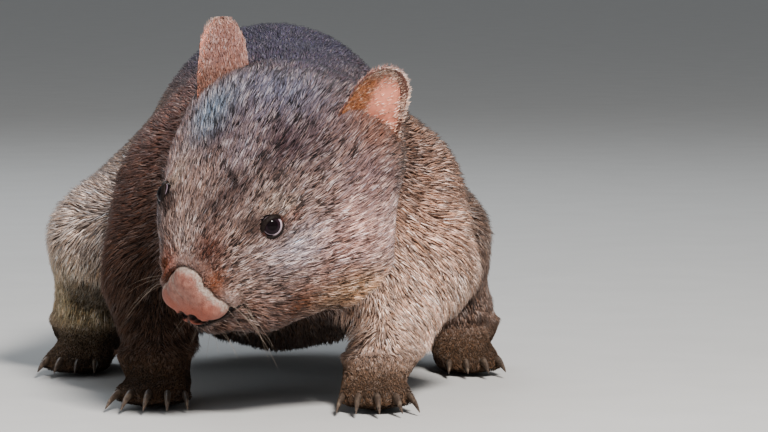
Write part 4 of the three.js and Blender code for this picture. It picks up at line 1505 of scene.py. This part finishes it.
@dataclass(frozen=True)
class Eye:
    """An eyeball and its ring of lids, in the head's frame."""

    side: Side
    centre_at: tuple = (46.0, 41.0, 22.0)
    facing: tuple = (0.5, 0.8, 0.33)
    slant: tuple = (-0.86, 0.42, 0.28)
    radius: float = 9.0
    gaze: tuple = (0.50, 0.64, 0.60)
    half_length: float = 8.2
    half_height: float = 6.5
    lid_width: float = 1.25
    lid_rise: float = 0.75
    tube: float = 0.3
    opening: tuple = (9.2, 7.4)

    def mirror(self, place: tuple) -> np.ndarray:
        """A place or direction on this eye's side."""
        return np.array(place) * np.array([1.0, self.side.value, 1.0])

    def centre(self) -> np.ndarray:
        """The eyeball's centre, in metres."""
        return PLACES.from_head([self.mirror(self.centre_at)])[0]

    def axes(self) -> tuple[np.ndarray, np.ndarray, np.ndarray]:
        """World directions along the opening to its back corner, up across it, and out.

        Returns:
            Three unit directions.
        """
        out = unit(self.mirror(self.facing))
        along = self.mirror(self.slant)
        along = unit(along - out * (along @ out))
        high = np.cross(out, along) * self.side.value
        return tuple(PLACES.aim([axis])[0] for axis in (along, high, out))

    def build_ball(self) -> bpy.types.Object:
        """A smooth eyeball with a slightly raised front, which knows how far each point is from its gaze.

        Returns:
            The eyeball.
        """
        clear_selection()
        bpy.ops.mesh.primitive_uv_sphere_add(segments=64, ring_count=48, radius=1)
        ball = bpy.context.active_object
        ball.name = ball.data.name = f"eyeball_{self.side.word}"
        gaze = unit(PLACES.aim([self.mirror(self.gaze)])[0])
        pole = Vector(gaze).to_track_quat("Z", "Y").to_matrix()
        ways = unit(corners_of(ball)) @ np.array(pole).T
        toward = ways @ gaze
        raised = self.radius - 0.1 + 0.5 * smooth(0.7, 0.95, toward)
        move_corners(ball, self.centre() + ways * raised[:, None] * MM)
        mark_corners(ball, "gaze", np.clip(toward, 0, 1))
        along, high, _ = self.axes()
        corner = smooth(0.0, 0.25, ways @ (0.7 * along - 0.7 * high))
        mark_corners(ball, "open", np.maximum(corner, smooth(0.68, 0.72, toward)))
        shade(ball)
        return ball

    def rim(self, turn: np.ndarray) -> np.ndarray:
        """The middle line of the lids.

        Args:
            turn: angles round the opening, from its back corner over the top.

        Returns:
            Places relative to the eyeball's centre, in millimetres, as along, high and out.
        """
        along = self.half_length * np.cos(turn) * (1 + 0.06 * np.cos(turn))
        high = self.half_height * np.sign(np.sin(turn)) * np.abs(np.sin(turn)) ** 1.12
        high = np.where(high > 0, high * 1.04, high * 0.95)
        out = np.sqrt(np.maximum((self.radius + 0.55) ** 2 - along**2 - high**2, 3.0))
        return np.stack([along, high, out], 1)

    def build_lids(self) -> bpy.types.Object:
        """The two lids as one soft ring, fuller above.

        Returns:
            The ring of lids.
        """
        clear_selection()
        bpy.ops.mesh.primitive_torus_add(
            major_segments=72, minor_segments=16, major_radius=1, minor_radius=self.tube
        )
        ring = bpy.context.active_object
        ring.name = ring.data.name = f"lids_{self.side.word}"
        shape = corners_of(ring)
        turn = np.arctan2(shape[:, 1], shape[:, 0])
        middle = self.rim(turn)
        away = unit(middle)
        ahead = unit(self.rim(turn + 0.03) - middle)
        outward = unit(np.cross(ahead, away))
        reach = (np.hypot(shape[:, 0], shape[:, 1]) - 1) / self.tube
        over = 1 + 0.5 * smooth(-0.2, 0.9, np.sin(turn))
        wrinkle = 0.12 * np.sin(turn * 19 + 2 * reach)
        middle = middle + outward * (reach * self.lid_width * over + 0.6)[:, None]
        middle = middle + away * (shape[:, 2] / self.tube * (self.lid_rise * over + wrinkle))[:, None]
        axes = np.stack(self.axes())
        move_corners(ring, self.centre() + middle @ axes * MM)
        face_outward(ring)
        back, front = smooth(0.9, 1.0, np.cos(turn)), 0.8 * smooth(0.93, 1, -np.cos(turn))
        mark_corners(ring, "corner", np.maximum(back, front))
        shade(ring)
        return ring

    def dress(self, ball: bpy.types.Object, lids: bpy.types.Object) -> None:
        """Finishes the ball and the lids in place of their solids.

        Args:
            ball: the eyeball.
            lids: the ring of lids.
        """
        finish_piece(ball, EyeFinish().make())
        finish_piece(lids, LidFinish().make())
        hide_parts(f"eye_{self.side.word}")
        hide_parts(f"eyelids_{self.side.word}")


@dataclass
class Nose:
    """The bare nose: a full rounded pad between two winged nostrils."""

    voxel: float = 0.9
    soft: int = 36
    nostril_depth: float = 6.5
    groove_depth: float = 1.6
    inward: tuple = (-0.9, 0.0, -0.3)
    flat_from: float = 96.0
    flatness: float = 0.12
    middle: float = 2.0
    crust: float = 6.5
    lobes: tuple = (
        ((90.5, 0, -6.5), (13.0, 13.5, 12.5)),
        ((88.5, 12.3, -23.5), (13.6, 13.6, 12.0)),
        ((88.5, -12.3, -23.5), (13.6, 13.6, 12.0)),
        ((90, 6, -15.5), (13.0, 13.4, 14.5)),
        ((90, -6, -15.5), (13.0, 13.4, 14.5)),
        ((90.5, 0, -22), (13.0, 15.5, 18.0)),
        ((92.5, 0, -30), (11.0, 14.5, 12.0)),
    )
    nostrils: tuple = (
        ((103.2, 4.0, -31), 3.5),
        ((102, 6.5, -34), 3.3),
        ((100, 9.5, -36.5), 2.8),
    )
    item: bpy.types.Object = field(default=None)

    def gap(self, head: np.ndarray) -> np.ndarray:
        """How far places in the head's frame are outside the pad, in millimetres.

        Args:
            head: places in the head's frame.

        Returns:
            One distance for each place, under zero inside the pad.
        """
        places = head - np.array([0, self.middle, 0])
        gaps = []
        for at, radii in self.lobes:
            away = np.linalg.norm((places - np.array(at)) / np.array(radii), axis=1)
            gaps.append((away - 1) * min(radii))
        return np.min(gaps, axis=0)

    def lobe(self, at: tuple, radii: tuple) -> bpy.types.Object:
        """One rounded lobe of the pad.

        Args:
            at: its middle in the head's frame.
            radii: its radii.

        Returns:
            The lobe.
        """
        clear_selection()
        bpy.ops.mesh.primitive_ico_sphere_add(subdivisions=4, radius=1)
        item = bpy.context.active_object
        middle = np.array(at) + np.array([0, self.middle, 0])
        move_corners(item, PLACES.from_head(corners_of(item) * np.array(radii) + middle))
        return item

    def build(self, surface: BVHTree) -> bpy.types.Object:
        """Fuses the lobes and presses the nostrils and the groove below into them.

        Args:
            surface: the skin round the pad.

        Returns:
            The pad.
        """
        parts = [self.lobe(at, radii) for at, radii in self.lobes]
        pick(*parts)
        bpy.ops.object.join()
        nose = bpy.context.view_layer.objects.active
        nose.name = nose.data.name = "nose_pad"
        apply_modifier(nose, "REMESH", mode="VOXEL", voxel_size=self.voxel * MM)
        apply_modifier(nose, "SMOOTH", factor=0.5, iterations=self.soft)
        places = PLACES.to_head(corners_of(nose)) - np.array([0, self.middle, 0])
        beyond = np.maximum(places[:, 0] - self.flat_from, 0)
        places[:, 0] -= self.flatness * beyond
        hollow = np.zeros(len(places))
        for at, radius in self.nostrils:
            for sign in (1, -1):
                away = np.linalg.norm((places - np.array(at) * [1, sign, 1]) * [0.45, 1, 1.1], axis=1)
                hollow = np.maximum(hollow, smooth(radius * 1.25, radius * 0.5, away))
        places += np.array(self.inward) * (self.nostril_depth * hollow)[:, None]
        groove = smooth(2.4, 0.6, np.abs(places[:, 1])) * smooth(-27, -34, places[:, 2])
        places[:, 0] -= self.groove_depth * groove
        move_corners(nose, PLACES.from_head(places + np.array([0, self.middle, 0])))
        edge = np.array([surface.find_nearest(Vector(place))[3] for place in corners_of(nose)]) / MM
        self.mark(nose, places, edge, hollow, groove)
        shade(nose)
        self.item = nose
        return nose

    def mark(self, nose: bpy.types.Object, places: np.ndarray, edge: np.ndarray, hollow: np.ndarray,
             groove: np.ndarray) -> None:
        """Keeps where the pad takes painted shade, where it is crusted and where it is red.

        Args:
            nose: the pad.
            places: its vertices in the head's frame, from the pad's own middle.
            edge: how far each is from the skin, in millimetres.
            hollow: 1 in the nostrils.
            groove: 1 in the groove below them.
        """
        across, z = np.abs(places[:, 1]), places[:, 2]
        downward = -(normals_of(nose) @ PLACES.turned())[:, 2]
        # Painted shade: dark in the nostrils, in the groove below them and on the pad's underside.
        under = np.maximum(smooth(-35.5, -38.5, z + 0.25 * across), smooth(0.5, 0.8, downward))
        dark = smooth(0.0, 0.45, hollow) + 0.8 * groove + 0.9 * under
        mark_corners(nose, "hollow", np.clip(dark, 0, 1))
        ragged = edge + 1.8 * ripple(places, 9, 0.3) + 1.0 * ripple(places, 3.1, 1.1)
        rim = 0.85 * smooth(self.crust, 0.45 * self.crust, ragged) * smooth(-31, -22, z)
        mark_corners(nose, "rim", rim)
        mark_corners(nose, "red", 0.75 * smooth(-12, -26, z) * smooth(18, 6, np.abs(across - 9)))

    def dress(self) -> None:
        """Finishes the nose in place of its solid."""
        finish_piece(self.item, NoseFinish().make())
        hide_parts("nose")


@dataclass
class Ear:
    """A short rounded ear: thin skin, rusty outside and peach inside, with a pale rim of hair."""

    side: Side
    root: tuple = (-54.0, 56.0, 36.0)
    width: float = 58.0
    voxel: float = 1.5
    sink: float = 2.0
    dense: float = 1.5
    hair_length: float = 5.0
    hair_width: float = 0.55
    hair_height: float = 1.4
    grizzle: float = 0.6
    box: tuple = NO_BOX
    item: bpy.types.Object = field(default=None)
    coat: bpy.types.Object = field(default=None)

    def facing(self) -> np.ndarray:
        """The way the ear's hollow faces, in the world."""
        ways = {Side.LEFT: (0.55, 0.82, 0.05), Side.RIGHT: (-0.3, -0.94, 0.0)}
        return unit(PLACES.aim([ways[self.side]])[0])

    def rise(self) -> np.ndarray:
        """From the ear's root to its tip, in the head's frame."""
        tips = {Side.LEFT: (-77, 70, 86), Side.RIGHT: (-84, -72, 82)}
        return np.array(tips[self.side]) - np.array(self.root) * [1, self.side.value, 1]

    def up(self) -> np.ndarray:
        """The ear's upward direction, in the world."""
        return unit(PLACES.aim([self.rise()])[0])

    def front(self) -> np.ndarray:
        """From the ear's back edge to its front edge, in the world.

        Returns:
            A unit direction.
        """
        ahead = PLACES.aim([(1.0, 0.0, 0.0)])[0]
        ahead = ahead - self.up() * (ahead @ self.up())
        return unit(ahead - self.facing() * (ahead @ self.facing()))

    def spot(self, places: np.ndarray) -> tuple[np.ndarray, np.ndarray]:
        """Where places lie on the ear.

        Args:
            places: rows of x, y, z, in metres.

        Returns:
            For each place -1 at the back edge to 1 at the front, and 0 at the root to 1 at the top.
        """
        base = PLACES.from_head([np.array(self.root) * [1, self.side.value, 1]])[0]
        away = (places - base) / MM
        return away @ self.front() / (self.width / 2), away @ self.up() / np.linalg.norm(self.rise())

    def inner(self, normals: np.ndarray) -> np.ndarray:
        """1 on the ear's hollow side, 0 on its back."""
        return smooth(-0.25, 0.35, normals @ self.facing())

    def rims(self, normals: np.ndarray) -> np.ndarray:
        """1 along the ear's edges."""
        return smooth(0.75, 0.35, np.abs(normals @ self.facing()))

    def skin_tone(self, places: np.ndarray, normals: np.ndarray) -> np.ndarray:
        """The bare skin's colours.

        Args:
            places: the skin's vertices.
            normals: their normals.

        Returns:
            Linear colours.
        """
        _, high = self.spot(places)
        inner = self.inner(normals)[:, None]
        peach = linear("f09478") * (1 - 0.35 * smooth(0.4, 0.0, high))[:, None]
        return linear("6d4335") * (1 - inner) + peach * inner

    def hair_tone(self, roots: np.ndarray, normals: np.ndarray) -> np.ndarray:
        """The hair's colours: rusty outside, golden on the front edge, whitish over the top.

        Args:
            roots: the tufts' roots.
            normals: the skin's normals there.

        Returns:
            Linear colours.
        """
        across, high = self.spot(roots)
        inner = self.inner(normals)[:, None]
        low = smooth(0.5, 0.1, high)[:, None]
        back = linear("9c7168") * (1 - low) + linear("7d5648") * low
        golden = smooth(-0.3, 0.3, across)[:, None]
        inside = linear("e6bca6") * (1 - golden) + linear("a86c48") * golden
        tone = back * (1 - inner) + inside * inner
        rim = self.rims(normals) * smooth(0.3, 0.6, high)
        pale = 0.9 * np.maximum(rim, self.fringe(across, high) * inner[:, 0])[:, None]
        return tone * (1 - pale) + linear("dcbcac") * pale

    def fringe(self, across: np.ndarray, high: np.ndarray) -> np.ndarray:
        """1 along the top and the back edge of the hollow, where pale hair hangs in."""
        return np.maximum(smooth(0.68, 0.9, high), smooth(-0.5, -0.8, across) * smooth(0.2, 0.5, high))

    def hair_density(self, places: np.ndarray, normals: np.ndarray) -> np.ndarray:
        """Tufts to a square millimetre: full outside, sparse in the hollow.

        Args:
            places: the skin's vertices.
            normals: their normals.

        Returns:
            One density for each vertex.
        """
        across, high = self.spot(places)
        inner = self.inner(normals)
        folded = smooth(-0.05, 0.35, across)
        rooted = 0.35 * smooth(0.25, 0.05, high)
        lined = 0.08 + 0.95 * folded + 0.8 * self.fringe(across, high) + rooted
        return self.dense * (1 - inner + inner * np.minimum(lined, 1))

    def build(self, rng: np.random.Generator) -> None:
        """Softens the solid ear into skin and grows its hair.

        Args:
            rng: the random source.
        """
        ear = copy_node(f"ear_{self.side.word}", f"ear_skin_{self.side.word}")
        apply_modifier(ear, "REMESH", mode="VOXEL", voxel_size=self.voxel * MM)
        apply_modifier(ear, "SMOOTH", factor=0.5, iterations=10)
        move_corners(ear, corners_of(ear) - normals_of(ear) * self.sink * MM)
        shade(ear)
        self.item = ear
        places, normals, faces = corners_of(ear), normals_of(ear), triangles_of(ear)
        corners, share, spot = charted_roots(places, faces, self.hair_density(places, normals), rng)
        roots = blended(places[corners], share)
        upright = unit(blended(normals[corners], share))
        inner = self.inner(upright)[:, None]
        rims = self.rims(upright)
        lie = self.up() * (1 - 0.4 * inner) - self.front() * 0.7 * inner
        lie = unit(lie - upright * (lie * upright).sum(1, keepdims=True))
        tufts = Tufts(f"ear_coat_{self.side.word}", roots, upright, lie, self.hair_length + rims,
                      np.full(len(roots), self.hair_width), self.hair_height + 0.9 * rims,
                      self.hair_tone(roots, upright), np.full(len(roots), self.grizzle), spot, rng, self.box)
        self.coat = tufts.build()

    def dress(self, hair: bpy.types.Material) -> None:
        """Finishes the ear in place of its solid.

        Args:
            hair: the coat's finish.
        """
        paint_corners(self.item, "coat", self.skin_tone(corners_of(self.item), normals_of(self.item)))
        finish_piece(self.item, EarFinish().make(self.side))
        finish_piece(self.coat, hair)
        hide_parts(f"ear_{self.side.word}")


@dataclass
class Whiskers:
    """Stiff pale hairs on the muzzle, over the eyes, on the cheeks and under the chin."""

    sides: int = 5
    steps: int = 8
    thickness: float = 0.065
    low: np.ndarray = field(default=None)
    high: np.ndarray = field(default=None)
    rows: tuple = (
        ((82, 28, -22), (9, 5, 9), (0.1, 0.85, -0.45), 44, 7),
        ((52, 30, 44), (6, 4, 3), (0.2, 0.5, 0.85), 26, 3),
        ((34, 66, -26), (6, 6, 6), (-0.2, 0.8, -0.55), 30, 2),
        ((78, 14, -56), (10, 8, 4), (0.3, 0.45, -0.8), 22, 4),
    )
    item: bpy.types.Object = field(default=None)

    def build(self, surface: BVHTree, rng: np.random.Generator) -> bpy.types.Object:
        """Every whisker as a thin tapering tube, in one mesh.

        Args:
            surface: the skin, for the roots.
            rng: the random source.

        Returns:
            The whiskers.
        """
        places, faces = [], []
        for at, spread, heading, length, count in self.rows:
            for side in Side:
                flip = np.array([1.0, side.value, 1.0])
                for _ in range(count):
                    root = np.array(at) + rng.uniform(-1, 1, 3) * np.array(spread)
                    start = surface.find_nearest(Vector(PLACES.from_head([root * flip])[0]))[0]
                    way = unit(np.array(heading) + rng.normal(0, 0.26, 3)) * flip
                    reach = length * rng.uniform(0.6, 1.1)
                    self.strand(np.array(start), PLACES.aim([way])[0], reach, places, faces)
        item = mesh_object("whiskers", np.concatenate(places), np.concatenate(faces))
        shade(item)
        self.item = item
        return item

    def strand(self, start: np.ndarray, way: np.ndarray, length: float, places: list, faces: list) -> None:
        """Adds one whisker.

        Args:
            start: its root, in metres.
            way: its direction at the root.
            length: its length, in millimetres.
            places: arrays of vertices so far.
            faces: arrays of faces so far.
        """
        first = sum(len(part) for part in places)
        along = np.linspace(0, 1, self.steps + 1)[:, None]
        bend = way * along + np.array([0, 0, -0.28]) * along**2.2
        line = start + bend * length * MM
        while (line < self.low + 0.0005).any() or (line > self.high - 0.0005).any():
            length *= 0.9
            line = start + bend * length * MM
        side = unit(np.cross(way, [0, 0, 1]))
        high = np.cross(side, way)
        angles = np.arange(self.sides) * 2 * math.pi / self.sides
        circle = np.cos(angles)[:, None] * side + np.sin(angles)[:, None] * high
        radius = self.thickness * (1 - along[:-1]) ** 0.8 + 0.03
        rings = line[:-1, None, :] + circle[None] * radius[:, :, None] * MM
        places.append(np.concatenate([rings.reshape(-1, 3), line[-1:], line[:1] - way * 0.001]))
        made = []
        for step in range(self.steps - 1):
            for k in range(self.sides):
                a, b = step * self.sides + k, step * self.sides + (k + 1) % self.sides
                made += [(a, b, b + self.sides), (a, b + self.sides, a + self.sides)]
        last = (self.steps - 1) * self.sides
        tip, root = self.steps * self.sides, self.steps * self.sides + 1
        for k in range(self.sides):
            made.append((last + k, last + (k + 1) % self.sides, tip))
            made.append(((k + 1) % self.sides, k, root))
        faces.append(np.array(made) + first)

    def dress(self) -> None:
        """Gives the whiskers their finish."""
        finish_piece(self.item, WhiskerFinish().make())


@dataclass
class Claws:
    """The claws, smoothed from their solids."""

    items: list = field(default_factory=list)

    def build(self) -> None:
        """Rounds every claw."""
        for node in sorted(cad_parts):
            if not node.startswith("claw_"):
                continue
            claw = copy_node(node, f"horn_{node[5:]}")
            apply_modifier(claw, "SUBSURF", levels=2, render_levels=2)
            shade(claw)
            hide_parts(node)
            self.items.append(claw)

    def dress(self) -> None:
        """Gives every claw the horn finish."""
        horn = HornFinish().make()
        for claw in self.items:
            finish_piece(claw, horn)


# Studio

@dataclass(frozen=True)
class Studio:
    """A plain pale floor, soft lights and the camera."""

    image: tuple = (768, 432)
    scale: float = 0.70
    distance: float = 3200.0
    elevation: float = 4.0
    target: tuple = (78.0, 0.0, 141.0)
    sensor: float = 36.0
    floor_side: float = 30.0
    aim: tuple = (0.0, 0.0, 0.13)
    key: tuple = ((0.85, -2.1, 2.05), 0.6, 165, (1.0, 0.95, 0.90))
    fill: tuple = ((-2.4, -1.2, 1.0), 1.6, 10, (0.88, 0.94, 1.0))
    back: tuple = ((-0.6, 2.0, 2.2), 1.4, 26, (0.86, 0.93, 1.0))
    surround: tuple = (0.80, 0.83, 0.86, 1.0)
    surround_strength: float = 0.26

    def build_floor(self) -> None:
        """The pale floor."""
        clear_selection()
        bpy.ops.mesh.primitive_plane_add(size=self.floor_side, location=(0, 0, 0))
        floor = bpy.context.active_object
        floor.name = "floor"
        floor.data.materials.append(FloorFinish().make())
        floor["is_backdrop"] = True

    def light(self, name: str, place: tuple, size: float, power: float, colour: tuple) -> None:
        """A soft square light aimed at the wombat.

        Args:
            name: the light's name.
            place: where it hangs, in metres.
            size: its side, in metres.
            power: its power, in watts.
            colour: its colour.
        """
        lamp = bpy.data.lights.new(name, "AREA")
        lamp.size = size
        lamp.energy = power
        lamp.color = colour
        item = bpy.data.objects.new(name, lamp)
        item.location = place
        item.rotation_euler = (Vector(self.aim) - Vector(place)).to_track_quat("-Z", "Y").to_euler()
        bpy.context.scene.collection.objects.link(item)

    def build_lights(self) -> None:
        """Key, fill and back lights, with a pale surround."""
        self.light("key", *self.key)
        self.light("fill", *self.fill)
        self.light("back", *self.back)
        world = bpy.data.worlds.new("surround")
        world.use_nodes = True
        background = world.node_tree.nodes["Background"]
        background.inputs["Color"].default_value = self.surround
        background.inputs["Strength"].default_value = self.surround_strength
        bpy.context.scene.world = world

    def build_camera(self) -> None:
        """The camera, level with the wombat's face."""
        data = bpy.data.cameras.new("camera")
        data.sensor_width = self.sensor
        data.lens = self.sensor * self.distance / (self.image[0] * self.scale)
        camera = bpy.data.objects.new("camera", data)
        rise = math.radians(self.elevation)
        back = np.array([0, -math.cos(rise), math.sin(rise)])
        camera.location = PLACES.from_body([np.array(self.target) + back * self.distance])[0]
        camera.rotation_euler = (math.pi / 2 - rise, 0, 0)
        bpy.context.scene.collection.objects.link(camera)
        bpy.context.scene.camera = camera


def main() -> None:
    """Builds the wombat and its studio."""
    logging.basicConfig(level=logging.INFO, format="%(name)s: %(message)s")
    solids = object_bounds()
    rng = np.random.default_rng(SEED)
    skin = Skin()
    skin.build()
    log.info("skin: %d vertices", len(skin.item.data.vertices))
    box = tuple(np.array(corner) for corner in solids)
    coat = Coat(skin, box=box)
    coat.build()
    for side in Side:
        eye = Eye(side)
        eye.dress(eye.build_ball(), eye.build_lids())
        log.info("eye, %s", side.word)
    surface = BVHTree.FromPolygons(corners_of(skin.item).tolist(), triangles_of(skin.item).tolist())
    nose = Nose()
    nose.build(surface)
    nose.dress()
    log.info("nose")
    whiskers = Whiskers(low=box[0], high=box[1])
    whiskers.build(surface, rng)
    whiskers.dress()
    log.info("whiskers")
    skin.dress()
    coat.dress()
    hair = coat.items[0].data.materials[0]
    for side in Side:
        ear = Ear(side, box=box)
        ear.build(rng)
        ear.dress(hair)
        log.info("ear, %s", side.word)
    claws = Claws()
    claws.build()
    claws.dress()
    log.info("claws: %d", len(claws.items))
    studio = Studio()
    studio.build_floor()
    studio.build_lights()
    studio.build_camera()
    log.info("studio")


if __name__ == "__main__":
    main()
